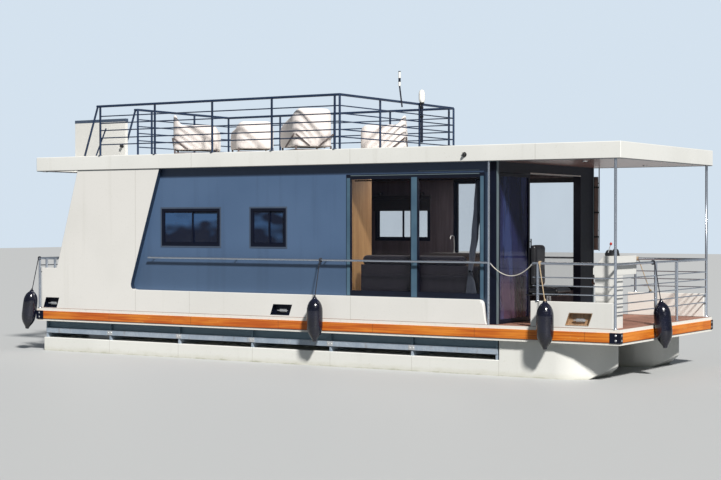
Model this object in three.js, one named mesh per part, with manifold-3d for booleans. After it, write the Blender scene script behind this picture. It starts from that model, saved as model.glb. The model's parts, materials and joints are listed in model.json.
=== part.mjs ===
// A houseboat on two pontoons: a flat deck, a cabin between white side fairings, an open foredeck under the roof,
// a roof terrace with rails and chairs, and an outboard motor in a well between the pontoons.
// Millimetres, +X to the bow, +Y to port, +Z up. The origin is under the middle of the boat, level with the
// pontoons' flat bottoms.
import * as THREE from "three";
import { mergeVertices } from "three/addons/utils/BufferGeometryUtils.js";
import Module from "manifold-3d";

const wasm = await Module();
wasm.setup();

// Driving dimensions
const draft = 400; // the waterline above the flat bottoms
const halfLength = 5070; // wooden rub rail, bow to stern
const halfBeam = 1700; // wooden rub rail, side to side
const seat = 0.3; // gap where one piece rests on another

// Heights over the flat bottoms
const pontoonTop = draft + 215;
const sideBeamLow = draft + 290;
const sideBeamHigh = draft + 365;
const deckLow = draft + 485;
const rubRailLow = draft + 516;
const rubRailHigh = draft + 645;
const deckTop = draft + 690;
const sillTop = draft + 1025;
const bulwarkTop = draft + 1030;
const railTop = draft + 1528;
const windowLow = draft + 1709;
const windowHigh = draft + 2280;
const glazingTop = draft + 2750;
const roofLow = draft + 2895;
const roofTop = draft + 3117;
const terraceRailTop = draft + 3893;

// Half widths from the centreline
const fairingOuter = 1680;
const fairingInner = 1600;
const wallOuter = 1595;
const wallInner = 1545;
const foreRailLine = 1662;
const terraceRailLine = 1672;

// Stations along the boat
const sternWallAft = -3850;
const sternWallFore = -3800;
const frontWallAft = 3110;
const frontWallFore = 3230;
const bowPostStation = 4985;

const colours = {
  gelcoat: ["#e8e8e4", 0.35, 0],
  wallBlue: ["#50688a", 0.45, 0.1],
  pine: ["#c86428", 0.6, 0],
  deckBrown: ["#7a5a45", 0.8, 0],
  galvanised: ["#8d9296", 0.5, 0.7],
  navyTube: ["#2c3a4a", 0.4, 0.6],
  steelTube: ["#8a929a", 0.3, 0.9],
  darkFrame: ["#1d242c", 0.4, 0.4],
  greenFrame: ["#8d9a98", 0.4, 0.4],
  glass: ["#9fb6bd", 0.05, 0],
  lightWood: ["#b98d62", 0.6, 0],
  upholstery: ["#2b2d31", 0.9, 0],
  fenderBlack: ["#10131c", 0.25, 0],
  motorBlack: ["#1a1c20", 0.3, 0.1],
  castMetal: ["#55595e", 0.5, 0.6],
  shellWhite: ["#d9d4c8", 0.7, 0],
  ropeWhite: ["#dcd8cc", 0.9, 0],
};

function finish(name) {
  const [color, roughness, metalness] = colours[name];
  return new THREE.MeshStandardMaterial({ color, roughness, metalness });
}

const boat = new THREE.Group();

function place(name, body, colour) {
  const mesh = new THREE.Mesh(body.isBufferGeometry ? body : geometryOf(body), finish(colour));
  mesh.name = name;
  boat.add(mesh);
  return mesh;
}

// Closed meshes as solids, joined and cut
function solid(geometry) {
  const loose = geometry.index ? geometry.toNonIndexed() : geometry;
  const bare = new THREE.BufferGeometry().setAttribute("position", loose.getAttribute("position"));
  const merged = mergeVertices(bare, 1e-3);
  const vertProperties = merged.attributes.position.array;
  const triVerts = new Uint32Array(merged.index.array);
  return new wasm.Manifold(new wasm.Mesh({ numProp: 3, vertProperties, triVerts }));
}

function geometryOf(body) {
  const { numProp, vertProperties, triVerts } = body.getMesh();
  const corners = new Float32Array((vertProperties.length / numProp) * 3);
  for (let i = 0; i < corners.length / 3; i++)
    corners.set(vertProperties.subarray(i * numProp, i * numProp + 3), i * 3);
  const geometry = new THREE.BufferGeometry();
  geometry.setAttribute("position", new THREE.BufferAttribute(corners, 3));
  geometry.setIndex(new THREE.BufferAttribute(new Uint32Array(triVerts), 1));
  return geometry;
}

const joined = (...bodies) => bodies.flat().reduce((whole, body) => whole.add(body));
const cut = (body, ...tools) => tools.flat().reduce((whole, tool) => whole.subtract(tool), body);

// Basic shapes in the boat's frame
function box([x0, x1], [y0, y1], [z0, z1]) {
  const geometry = new THREE.BoxGeometry(x1 - x0, y1 - y0, z1 - z0);
  return solid(geometry.translate((x0 + x1) / 2, (y0 + y1) / 2, (z0 + z1) / 2));
}

function outline(points) {
  if (points instanceof THREE.Shape) return points;
  return new THREE.Shape(points.map(([a, b]) => new THREE.Vector2(a, b)));
}

const straight = (depth) => ({ depth, bevelEnabled: false, curveSegments: 4 });

// An outline in X and Y, raised from z0 to z1
function fromPlan(points, [z0, z1]) {
  return solid(new THREE.ExtrudeGeometry(outline(points), straight(z1 - z0)).translate(0, 0, z0));
}

// An outline in X and Z, drawn across the boat from y0 to y1
function fromSide(points, [y0, y1]) {
  const geometry = new THREE.ExtrudeGeometry(outline(points), straight(y1 - y0));
  return solid(geometry.rotateX(Math.PI / 2).translate(0, y1, 0));
}

// An outline in Y and Z, drawn along the boat from x0 to x1
function fromFront(points, [x0, x1]) {
  const geometry = new THREE.ExtrudeGeometry(outline(points), straight(x1 - x0));
  const along = new THREE.Matrix4().makeBasis(
    new THREE.Vector3(0, 1, 0),
    new THREE.Vector3(0, 0, 1),
    new THREE.Vector3(1, 0, 0),
  );
  return solid(geometry.applyMatrix4(along).translate(x0, 0, 0));
}

// A round bar between two points
function bar(from, to, radius, sides = 8) {
  const start = new THREE.Vector3(...from);
  const run = new THREE.Vector3(...to).sub(start);
  const geometry = new THREE.CylinderGeometry(radius, radius, run.length(), sides);
  geometry.translate(0, run.length() / 2, 0);
  geometry.applyQuaternion(
    new THREE.Quaternion().setFromUnitVectors(new THREE.Vector3(0, 1, 0), run.clone().normalize()),
  );
  return solid(geometry.translate(start.x, start.y, start.z));
}

// A profile of radius and height turned about an upright axis
function turned(profile, [x, y, z], sides = 12) {
  const points = profile.map(([radius, height]) => new THREE.Vector2(radius, height));
  const geometry = new THREE.LatheGeometry(points, sides);
  return solid(geometry.rotateX(Math.PI / 2).translate(x, y, z));
}

// The starboard piece as drawn and its mirror image to port
function bothSides(name, make, colour) {
  const body = make();
  place(`${name}_starboard`, body, colour);
  place(`${name}_port`, body, colour).scale.y = -1;
}

// Pontoons: the side view, the plan and the cross-section, intersected
const pontoonLine = 1100;
const pontoonHalfWidth = 500;
const pontoonStern = -5000;
const pontoonStem = 4780;
const foreSection = 3270;

function pontoon() {
  const top = deckLow - seat;
  const sideView = [
    [pontoonStern, 60], [pontoonStern + 80, 0], [4060, 0], [4510, draft], [pontoonStem, draft + 160],
    [pontoonStem, top], [foreSection, top], [foreSection, pontoonTop], [pontoonStern, pontoonTop],
  ];
  const halfPlan = [
    [pontoonStern, pontoonHalfWidth], [4080, pontoonHalfWidth], [4330, 430], [4560, 290], [4710, 130],
    [pontoonStem, 22],
  ];
  const plan = [
    ...halfPlan.map(([x, w]) => [x, -pontoonLine - w]),
    ...halfPlan.toReversed().map(([x, w]) => [x, -pontoonLine + w]),
  ];
  const keelHalfWidth = 300;
  const chineHeight = 190;
  const section = [
    [-keelHalfWidth, 0], [keelHalfWidth, 0], [pontoonHalfWidth, chineHeight], [pontoonHalfWidth, top],
    [-pontoonHalfWidth, top], [-pontoonHalfWidth, chineHeight],
  ].map(([y, z]) => [y - pontoonLine, z]);
  const across = [-pontoonLine - pontoonHalfWidth, -pontoonLine + pontoonHalfWidth];
  return fromSide(sideView, across)
    .intersect(fromPlan(plan, [0, top]))
    .intersect(fromFront(section, [pontoonStern, pontoonStem]));
}
bothSides("pontoon", pontoon, "gelcoat");

// Motor well in the aft deck, and the transom that carries the motor
const wellHalfWidth = 360;
const wellFore = -4180;
const transomAft = -4560;
const transomFore = -4520;
const transomTop = 900;

// Steel underframe between the pontoons and the deck
function underframe() {
  const frameTop = deckLow - seat;
  const frameFoot = pontoonTop + seat;
  const webStations = [-4940, -3600, -2220, -840, 550, 1910, 3235];
  const webHalfThickness = 15;
  const outer = pontoonLine + pontoonHalfWidth;
  const inner = pontoonLine - pontoonHalfWidth;
  const feet = [-1, 1].flatMap((side) =>
    webStations.map((x) =>
      box(
        [x - webHalfThickness, x + webHalfThickness],
        side < 0 ? [-outer + 10, -inner] : [inner, outer - 10],
        [frameFoot, frameTop],
      ),
    ),
  );
  const crossBeams = webStations
    .slice(1)
    .map((x) => box([x - webHalfThickness, x + webHalfThickness], [-inner, inner], [sideBeamLow, frameTop]));
  const lines = [[inner - 50, inner + 10], [outer - 60, outer]];
  const beams = lines.flatMap(([near, far]) =>
    [[near, far], [-far, -near]].map((across) => box([-4950, 3250], across, [sideBeamLow, sideBeamHigh])),
  );
  const sideWebs = [[outer - 58, outer - 50], [-outer + 50, -outer + 58]].map((across) =>
    box([-4945, 3240], across, [sideBeamHigh - 10, frameTop - 3]),
  );
  const arms = [[-420, -380], [380, 420]].map((across) =>
    box([transomAft, -3600], across, [sideBeamLow, frameTop]),
  );
  const transom = box([transomAft, transomFore], [-420, 420], [560, deckLow - 5]);
  const transomHead = box([transomAft, transomFore], [-200, 200], [deckLow - 5, transomTop]);
  return joined(feet, crossBeams, beams, sideWebs, arms, transom, transomHead);
}
place("underframe", underframe(), "galvanised");

// Deck: three layers, so that the wooden rub rail lies in a groove around its edge
function deckOutline(inset) {
  const x = halfLength - inset;
  const y = halfBeam - inset;
  return [
    [-x, -y], [x, -y], [x, y], [-x, y],
    [-x, wellHalfWidth], [wellFore, wellHalfWidth], [wellFore, -wellHalfWidth], [-x, -wellHalfWidth],
  ];
}
const rubRailDepth = 38;
place(
  "deck",
  joined(
    fromPlan(deckOutline(8), [deckLow, rubRailLow - seat]),
    fromPlan(deckOutline(rubRailDepth), [rubRailLow - 1, rubRailHigh + 1]),
    fromPlan(deckOutline(10), [rubRailHigh + seat, deckTop]),
  ),
  "deckBrown",
);

function rubRail() {
  const inner = rubRailDepth - seat;
  const x = halfLength - inner;
  const y = halfBeam - inner;
  const ring = [
    [-halfLength, -halfBeam], [halfLength, -halfBeam], [halfLength, halfBeam], [-halfLength, halfBeam],
    [-halfLength, wellHalfWidth], [-x, wellHalfWidth], [-x, y], [x, y], [x, -y], [-x, -y],
    [-x, -wellHalfWidth], [-halfLength, -wellHalfWidth],
  ];
  return fromPlan(ring, [rubRailLow, rubRailHigh]);
}
place("rub_rail", rubRail(), "pine");

// White side fairing: low aft bulwark, raked screen, and a sill that runs forward under the windows
const fairingAft = -4970;
const aftBulwarkTop = draft + 1340;
const cleatPockets = [
  // aft end, length, lower edge, height
  { aft: -4930, length: 330, low: draft + 705, height: 155 },
  { aft: -440, length: 380, low: draft + 720, height: 150 },
];
const foreCleatPocket = { aft: 4290, length: 380, low: draft + 725, height: 160 };

function pocket({ aft, length, low, height }) {
  const lean = height * 0.35;
  const outlineOfPocket = [
    [aft, low], [aft + length - lean, low], [aft + length, low + height], [aft + lean, low + height],
  ];
  return fromSide(outlineOfPocket, [-fairingOuter - 1, -fairingOuter + 60]);
}

function fairing() {
  const low = deckTop + seat;
  const high = roofLow - seat;
  const shape = new THREE.Shape();
  shape.moveTo(fairingAft, low);
  shape.lineTo(fairingAft, aftBulwarkTop);
  shape.lineTo(-4650, aftBulwarkTop);
  shape.lineTo(-4620, aftBulwarkTop + 90);
  shape.lineTo(-4200, high);
  shape.lineTo(-2530, high);
  shape.lineTo(-3085, draft + 1170);
  shape.quadraticCurveTo(-3132, sillTop, -3007, sillTop);
  shape.lineTo(2990, sillTop);
  shape.quadraticCurveTo(3060, sillTop, 3072, draft + 940);
  shape.lineTo(3095, draft + 790);
  shape.quadraticCurveTo(3105, draft + 725, 3128, low);
  shape.closePath();
  return cut(fromSide(shape, [-fairingOuter, -fairingInner]), cleatPockets.map(pocket));
}
bothSides("fairing", fairing, "gelcoat");

// Low bulwark beside the foredeck, up to the bow corner post
const postRadius = 20;
function foreBulwark() {
  const fore = bowPostStation - postRadius - seat;
  const body = box([3780, fore], [-fairingOuter, -fairingInner], [deckTop + seat, bulwarkTop]);
  return cut(body, pocket(foreCleatPocket));
}
bothSides("fore_bulwark", foreBulwark, "gelcoat");

// Cabin walls with their windows cut through
const saloonOpening = { aft: 830, fore: 3050, low: sillTop + 8, high: glazingTop };
const windows = {
  starboard: [
    // aft edge, fore edge, lower edge, upper edge
    [-2550, -1430, windowLow, windowHigh],
    [-860, -220, windowLow, windowHigh],
  ],
  port: [
    [-2550, -1430, windowLow, windowHigh],
    [-630, 410, draft + 1770, draft + 2470],
  ],
};

function sideWall(side, along) {
  const across = side === "starboard" ? [-wallOuter, -wallInner] : [wallInner, wallOuter];
  const through = [across[0] - 5, across[1] + 5];
  const { aft, fore, low, high } = saloonOpening;
  const openings = windows[side].map(([x0, x1, z0, z1]) => box([x0, x1], through, [z0, z1]));
  return cut(
    box(along, across, [deckTop + seat, roofLow - seat]),
    box([aft, fore], through, [low, high]),
    openings,
  );
}

// The port wall has two panels, which meet between its small windows
const portWallJoint = -1030;
place("side_wall_starboard", sideWall("starboard", [sternWallAft, frontWallAft]), "wallBlue");
place("side_wall_port_aft", sideWall("port", [sternWallAft, portWallJoint - seat / 2]), "wallBlue");
place("side_wall_port_fore", sideWall("port", [portWallJoint + seat / 2, frontWallAft]), "wallBlue");

// Saloon glazing: a frame with one mullion on each side, and a sheet of glass behind it
const glazingFrameWidth = 70;
const glazingOuter = wallOuter + 6;
const glazingMiddle = 1555;
function glazingFrame() {
  const aft = saloonOpening.aft + seat;
  const fore = saloonOpening.fore - seat;
  const low = saloonOpening.low + seat;
  const high = saloonOpening.high - seat;
  const across = [-glazingOuter, -glazingMiddle];
  const through = [-glazingOuter - 5, -glazingMiddle + 5];
  const paneLow = low + glazingFrameWidth;
  const paneHigh = high - glazingFrameWidth;
  return cut(
    box([aft, fore], across, [low, high]),
    box([aft + glazingFrameWidth, 1890], through, [paneLow, paneHigh]),
    box([2010, fore - glazingFrameWidth], through, [paneLow, paneHigh]),
  );
}
function glazingGlass() {
  const lap = 30;
  return box(
    [saloonOpening.aft + lap, saloonOpening.fore - lap],
    [-glazingMiddle + seat, -glazingMiddle + seat + 8],
    [saloonOpening.low + lap, saloonOpening.high - lap],
  );
}
bothSides("saloon_frame", glazingFrame, "greenFrame");
bothSides("saloon_glass", glazingGlass, "glass");

// Front wall: pillars, header and floor track around the sliding door
const doorStarboard = -1530;
const doorPort = 1126;
const trackTop = deckTop + 12;
const doorHead = draft + 2748;
place(
  "front_wall",
  cut(
    box([frontWallAft + seat, frontWallFore], [-wallOuter, wallOuter], [deckTop + seat, roofLow - seat]),
    box([frontWallAft - 5, frontWallFore + 5], [doorStarboard, doorPort], [trackTop, doorHead]),
  ),
  "darkFrame",
);

// Three door leaves stacked to starboard, each in its own track: the aft one is fixed, the other two slide
const leafWidth = 960;
const leafThickness = 34;
const leafGap = 6;
const leafStile = 45;
const leafLow = trackTop + 6;
const leafHigh = doorHead - 6;
const leaves = ["fixed", "middle", "leading"];
leaves.forEach((name, track) => {
  const aft = frontWallAft + 3 + track * (leafThickness + leafGap);
  const depth = [aft, aft + leafThickness];
  const across = [doorStarboard + seat + track * 4, doorStarboard + leafWidth];
  const pane = [across[0] + leafStile, across[1] - leafStile];
  const frame = cut(
    box(depth, across, [leafLow, leafHigh]),
    box([depth[0] - 5, depth[1] + 5], pane, [leafLow + leafStile, leafHigh - leafStile]),
  );
  const runners = [across[0] + 60, across[1] - 140].map((y) =>
    box([depth[0] + 8, depth[1] - 8], [y, y + 80], [trackTop + seat, leafLow + 1]),
  );
  place(`door_${name}_frame`, joined(frame, runners), "darkFrame");
  place(
    `door_${name}_glass`,
    box(
      [depth[0] + 13, depth[0] + 21],
      [pane[0] + seat, pane[1] - seat],
      [leafLow + leafStile + seat, leafHigh - leafStile - seat],
    ),
    "glass",
  );
});

// Stern wall with a hinged door to the aft deck
const sternDoor = { starboard: 480, port: 1230, low: deckTop + 40, high: deckTop + 2000 };
place(
  "stern_wall",
  cut(
    box([sternWallAft, sternWallFore], [-wallInner + seat, wallInner - seat], [deckTop + seat, roofLow - seat]),
    box(
      [sternWallAft - 5, sternWallFore + 5],
      [sternDoor.starboard, sternDoor.port],
      [sternDoor.low, sternDoor.high],
    ),
  ),
  "gelcoat",
);

const hingeRadius = 9;
const sternDoorHinge = [sternWallAft - hingeRadius - seat, sternDoor.port + 10];
function sternDoorLeaf() {
  const clearance = 6;
  const leaf = box(
    [sternWallAft - 2, sternWallAft + 38],
    [sternDoor.starboard + clearance, sternDoor.port - 14],
    [sternDoor.low + clearance, sternDoor.high - clearance],
  );
  const [x, y] = sternDoorHinge;
  const knuckles = [250, 1650].map((z) => bar([x, y, deckTop + z], [x, y, deckTop + z + 110], hingeRadius));
  const straps = [250, 1650].map((z) =>
    box([x - 2, x + 2], [y - 70, y], [deckTop + z, deckTop + z + 110]),
  );
  const pads = [250, 1650].map((z) =>
    box([x - 2, sternWallAft + 2], [y - 70, y - 26], [deckTop + z, deckTop + z + 110]),
  );
  const handle = joined(
    bar([sternWallAft - 50, 560, deckTop + 960], [sternWallAft, 560, deckTop + 960], 9),
    bar([sternWallAft - 45, 560, deckTop + 960], [sternWallAft - 45, 680, deckTop + 960], 9),
  );
  return joined(leaf, knuckles, straps, pads, handle);
}
place("stern_door", sternDoorLeaf(), "gelcoat");

// Fixed joinery: a partition behind the sofa and a galley along the port wall
place(
  "joinery",
  joined(
    box([760, 800], [-wallInner + 20, -870], [deckTop + seat, roofLow - 20]),
    box([760, 800], [-871, 1400], [deckTop + seat, deckTop + 60]),
    box([760, 2300], [950, 1400], [deckTop + seat, deckTop + 860]),
    box([740, 2320], [930, 1420], [deckTop + 859, deckTop + 900]),
  ),
  "lightWood",
);

// Sofa along the starboard glazing
place(
  "sofa",
  joined(
    box([1000, 2900], [-1480, -880], [deckTop + seat, deckTop + 420]),
    box([1000, 2900], [-1480, -1330], [deckTop + 400, draft + 1608]),
    box([1000, 1150], [-1480, -880], [deckTop + 400, deckTop + 600]),
  ),
  "upholstery",
);

// Roof slab with the stair hatch cut through it
const hatch = { aft: -4910, fore: -3870, starboard: -1535, port: -945 };
place(
  "roof",
  cut(
    box([-halfLength, halfLength], [-halfBeam + 5, halfBeam - 5], [roofLow, roofTop]),
    box([hatch.aft, hatch.fore], [hatch.starboard, hatch.port], [roofLow - 5, roofTop + 5]),
  ),
  "gelcoat",
);

// Hatch lid, standing open on its hinge rod beside the hatch
const lidRod = 5;
const lidHinge = { y: -930, z: roofTop + seat + lidRod };
place(
  "hatch_lid",
  joined(
    box([hatch.aft - 20, hatch.fore + 20], [lidHinge.y, lidHinge.y + 60], [lidHinge.z, draft + 3745]),
    bar([hatch.aft - 20, lidHinge.y, lidHinge.z], [hatch.fore + 20, lidHinge.y, lidHinge.z], lidRod, 12),
  ),
  "gelcoat",
);

// Steep stair from the aft deck up through the hatch, hung from the hatch's fore edge
function stair() {
  const foot = { x: -4830, z: deckTop + seat };
  const head = { x: -4010, z: roofTop - 50 };
  const depth = 118;
  const slope = (head.x - foot.x) / (head.z - foot.z);
  const stringer = [[foot.x, foot.z], [foot.x + depth, foot.z], [head.x + depth, head.z], [head.x, head.z]];
  const sides = [[-1500, -1475], [-1000, -975]].map((across) => fromSide(stringer, across));
  const steps = 9;
  const rise = (head.z - foot.z) / (steps + 0.4);
  const treads = Array.from({ length: steps }, (_, i) => {
    const z = foot.z + rise * (i + 1);
    const x = foot.x + slope * (z - foot.z);
    return box([x - 20, x + depth - 8], [-1476, -999], [z - 32, z]);
  });
  const hanger = box([head.x + depth - 30, hatch.fore - seat], [-1500, -975], [head.z - 70, head.z - 20]);
  return joined(sides, treads, hanger);
}
place("stair", stair(), "steelTube");

// Rails: posts at given points, a top tube and thinner bars that follow a line of corners
function rail({ posts, line, top, bars, postR, topR, barR }) {
  const parts = posts.map(([x, y, foot, head]) => bar([x, y, foot], [x, y, head ?? top], postR));
  const along = (z, radius) =>
    line.slice(1).map(([x, y], i) => bar([...line[i], z], [x, y, z], radius));
  const knees = line.slice(1, -1).map(([x, y]) => turned([[0, -topR], [topR, -topR], [topR, topR], [0, topR]], [x, y, top], 8));
  return joined(parts, along(top, topR), knees, bars.flatMap((z) => along(z, barR)));
}

const terraceTubes = { postR: 17, topR: 19, barR: 9 };
const terraceBars = [3736, 3625, 3513, 3395, 3290].map((z) => draft + z);
const terraceFore = 765;
const terraceAft = -3726;
const terraceFoot = roofTop + seat;
const terraceStations = [terraceAft, -2623, -1516, -421, 680, terraceFore];

function terraceSide(y, stations) {
  return rail({
    ...terraceTubes,
    posts: stations.map((x) => [x, y, terraceFoot]),
    line: [[stations[0], y], [stations.at(-1), y]],
    top: terraceRailTop,
    bars: terraceBars,
  });
}

// A sloping handrail on each side of the hatch: the top tube runs on a little, then bends down to the roof
const slopeHead = terraceAft - 50;
const slopingHandrail = (y) =>
  joined(
    bar([terraceAft, y, terraceRailTop], [slopeHead, y, terraceRailTop], terraceTubes.topR),
    bar([slopeHead, y - terraceTubes.topR, terraceRailTop], [slopeHead, y + terraceTubes.topR, terraceRailTop],
      terraceTubes.topR, 8),
    bar([slopeHead, y, terraceRailTop], [-4050, y, terraceFoot + 6], terraceTubes.postR),
  );

// The starboard rail also carries a short grab tube, welded to its aft post
const grabLine = -terraceRailLine + 27;
place(
  "terrace_rail_starboard",
  joined(
    terraceSide(-terraceRailLine, terraceStations),
    slopingHandrail(-terraceRailLine),
    bar([-3838, grabLine, terraceFoot + 6], [-3632, grabLine, draft + 3545], 12),
  ),
  "navyTube",
);
place("terrace_rail_port", terraceSide(terraceRailLine, terraceStations), "navyTube");

function terraceEnd(x, from, to, posts) {
  return rail({
    ...terraceTubes,
    posts: posts.map((y) => [x, y, terraceFoot]),
    line: [[x, from], [x, to]],
    top: terraceRailTop,
    bars: terraceBars,
  });
}
const endGap = terraceTubes.topR + seat;
place(
  "terrace_rail_front",
  terraceEnd(terraceFore, -terraceRailLine + endGap, terraceRailLine - endGap, [-571, 587]),
  "navyTube",
);
const hatchSide = -765;
place(
  "terrace_rail_aft",
  joined(
    terraceEnd(terraceAft, hatchSide, terraceRailLine - endGap, [hatchSide, -415, 711]),
    slopingHandrail(hatchSide),
  ),
  "navyTube",
);

// Antenna and radome, clamped to the front terrace rail
const clampStation = terraceFore + terraceTubes.topR + seat;
const antenna = { station: clampStation + 12.6, foot: 10, head: -66, radius: 12 };
place(
  "antenna",
  joined(
    bar(
      [antenna.station, antenna.foot, terraceRailTop - 80],
      [antenna.station, antenna.head, draft + 4130],
      antenna.radius,
    ),
    bar([antenna.station, antenna.head, draft + 4127], [antenna.station, antenna.head, draft + 4350], 18, 12),
  ),
  "darkFrame",
);
place(
  "radome",
  joined(
    bar([clampStation + 20, 592, draft + 3300], [clampStation + 20, 592, draft + 3920], 20),
    turned(
      [[0, 0], [36, 8], [48, 45], [48, 140], [38, 185], [0, 207]],
      [clampStation + 20, 592, draft + 3914],
    ),
  ),
  "shellWhite",
);

// Foredeck rails: from the side gate to the corner post, then across the bow to the gate
const gatePosts = { starboard: -300, port: 490 };
const foreTubes = { postR: postRadius, topR: 18, barR: 8 };
const sideBars = [1345, 1235, 1125].map((z) => draft + z);
const bowBars = [1345, 1235, 1125, 1015, 905].map((z) => draft + z);
const foreRailAft = 3810;

function foreRail(side, gatePost) {
  const y = side * foreRailLine;
  const sideRun = rail({
    ...foreTubes,
    posts: [[3880, y, bulwarkTop + seat], [bowPostStation, y, deckTop + seat, roofLow - seat]],
    line: [[foreRailAft, y], [bowPostStation, y]],
    top: railTop,
    bars: sideBars,
  });
  const bowRun = rail({
    ...foreTubes,
    posts: [[bowPostStation, gatePost, deckTop + seat]],
    line: [[bowPostStation, y], [bowPostStation, gatePost]],
    top: railTop,
    bars: bowBars,
  });
  return joined(sideRun, bowRun);
}
place("fore_rail_starboard", foreRail(-1, gatePosts.starboard), "steelTube");
place("fore_rail_port", foreRail(1, gatePosts.port), "steelTube");

// Bow gate, hinged on its port post
function bowGate() {
  const hingeSide = gatePosts.port - postRadius - seat;
  const latchSide = gatePosts.starboard + 38;
  const levels = [railTop, ...bowBars];
  const bars = levels.map((z) =>
    bar([bowPostStation, latchSide, z], [bowPostStation, hingeSide, z], z === railTop ? 14 : 8),
  );
  const stiles = [latchSide, hingeSide - 25].map((y) =>
    bar([bowPostStation, y, bowBars.at(-1) - 20], [bowPostStation, y, railTop], 11),
  );
  return joined(bars, stiles);
}
place("bow_gate", bowGate(), "steelTube");

// Stern rail around the aft deck
const sternRailCorner = -5030;
const sternRailTop = draft + 1490;
function sternRail() {
  const y = foreRailLine;
  const corner = sternRailCorner;
  const fore = -4600;
  const bars = [1380, 1270].map((z) => draft + z);
  const onBulwark = aftBulwarkTop + seat;
  return joined(
    rail({
      ...foreTubes,
      posts: [
        [-4880, -y, onBulwark], [-4700, -y, onBulwark], [corner, -y, deckTop + seat],
        [corner, -520, deckTop + seat], [corner, 520, deckTop + seat],
        [corner, y, deckTop + seat], [-4880, y, onBulwark], [-4700, y, onBulwark],
      ],
      line: [[fore - 40, -y], [corner, -y], [corner, y], [fore - 40, y]],
      top: sternRailTop,
      bars: [],
    }),
    bars.map((z) => bar([corner, -y, z], [corner, y, z], foreTubes.barR)),
  );
}
place("stern_rail", sternRail(), "steelTube");

// Handrail along each cabin wall, on brackets, with the slim roof post at its forward end
const cabinRailLine = fairingOuter - 18;
const cabinTube = 15;
function cabinRail() {
  const line = -cabinRailLine;
  const brackets = [-2680, -1100, 500, 1950];
  const post = [3150, line];
  return joined(
    bar([-2770, line, railTop], [post[0], line, railTop], cabinTube),
    brackets.map((x) => bar([x, line, railTop], [x, (x > 830 ? -glazingOuter : -wallOuter) - seat, railTop], 9)),
    bar([...post, deckTop + seat], [...post, roofLow - seat], 16),
  );
}
bothSides("cabin_rail", cabinRail, "steelTube");

// Helm console with its dash, wheel and seat
place(
  "helm_console",
  joined(
    fromSide(
      [[4640, deckTop + seat], [4940, deckTop + seat], [4940, draft + 1528], [4620, draft + 1528]],
      [-1500, -1310],
    ),
    fromSide(
      [[4600, draft + 1385], [4945, draft + 1385], [4945, draft + 1632], [4750, draft + 1632], [4600, draft + 1470]],
      [-1500, -870],
    ),
  ),
  "gelcoat",
);

const wheelCentre = new THREE.Vector3(4520, -1130, draft + 1400);
const wheelAxis = new THREE.Vector3(-0.94, 0, 0.342).normalize();
function steeringWheel() {
  const rim = new THREE.TorusGeometry(170, 13, 8, 20);
  const spokes = [0, 120, 240].map((deg) => {
    const a = THREE.MathUtils.degToRad(deg + 90);
    return bar([0, 0, 0], [170 * Math.cos(a), 170 * Math.sin(a), 0], 9);
  });
  const hub = bar([0, 0, -40], [0, 0, 18], 30, 12);
  const shaft = bar([0, 0, -79.4], [0, 0, -30], 14);
  const toAxis = new THREE.Quaternion().setFromUnitVectors(new THREE.Vector3(0, 0, 1), wheelAxis);
  const geometry = geometryOf(joined(solid(rim), spokes, hub, shaft));
  geometry.applyQuaternion(toAxis).translate(...wheelCentre.toArray());
  return geometry;
}
place("steering_wheel", steeringWheel(), "motorBlack");

function helmSeat() {
  const cushion = [[3550, draft + 1100], [4010, draft + 1100], [4030, draft + 1190], [3600, draft + 1190]];
  const back = [[3560, draft + 1100], [3650, draft + 1100], [3665, draft + 1400], [3655, draft + 1745],
    [3630, draft + 1775], [3590, draft + 1770], [3570, draft + 1400]];
  return joined(
    fromSide(cushion, [-1360, -890]),
    fromSide(back, [-1300, -950]),
    bar([3780, -1125, deckTop + 20], [3780, -1125, draft + 1110], 45, 12),
    bar([3780, -1125, deckTop + seat], [3780, -1125, deckTop + 26], 170, 16),
  );
}
place("helm_seat", helmSeat(), "upholstery");

// Outboard motor: clamp bracket, swivel bracket that tilts, the motor that steers in it, and the propeller
const tilt = { x: -4610, z: 915 };
const steer = -4680;
const propLine = draft - 170;
function clampBracket() {
  const ears = [[-90, -50], [50, 90]].map((across) => box([-4645, -4560 - seat], across, [870, 933]));
  const plate = box([-4580, transomAft - seat], [-90, 90], [640, 933]);
  const bridge = box([-4580, -4500], [-90, 90], [transomTop + seat, 933]);
  const jaw = box([transomFore + seat, -4500], [-90, 90], [780, 933]);
  const bores = bar([tilt.x, -100, tilt.z], [tilt.x, 100, tilt.z], 12.6, 16);
  return cut(joined(ears, plate, bridge, jaw), bores);
}
place("motor_clamp", clampBracket(), "castMetal");

function swivelBracket() {
  return cut(
    joined(
      bar([steer, 0, 610], [steer, 0, 890], 34, 16),
      box([-4660, -4600], [-38, 38], [625, 890]),
      bar([tilt.x, -40, tilt.z], [tilt.x, 40, tilt.z], 24, 12),
      box([-4634, -4600], [-38, 38], [880, 912]),
      bar([tilt.x, -88, tilt.z], [tilt.x, 88, tilt.z], 12, 16),
    ),
    bar([steer, 0, 600], [steer, 0, 900], 19, 16),
  );
}
place("motor_swivel", swivelBracket(), "castMetal");

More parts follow.
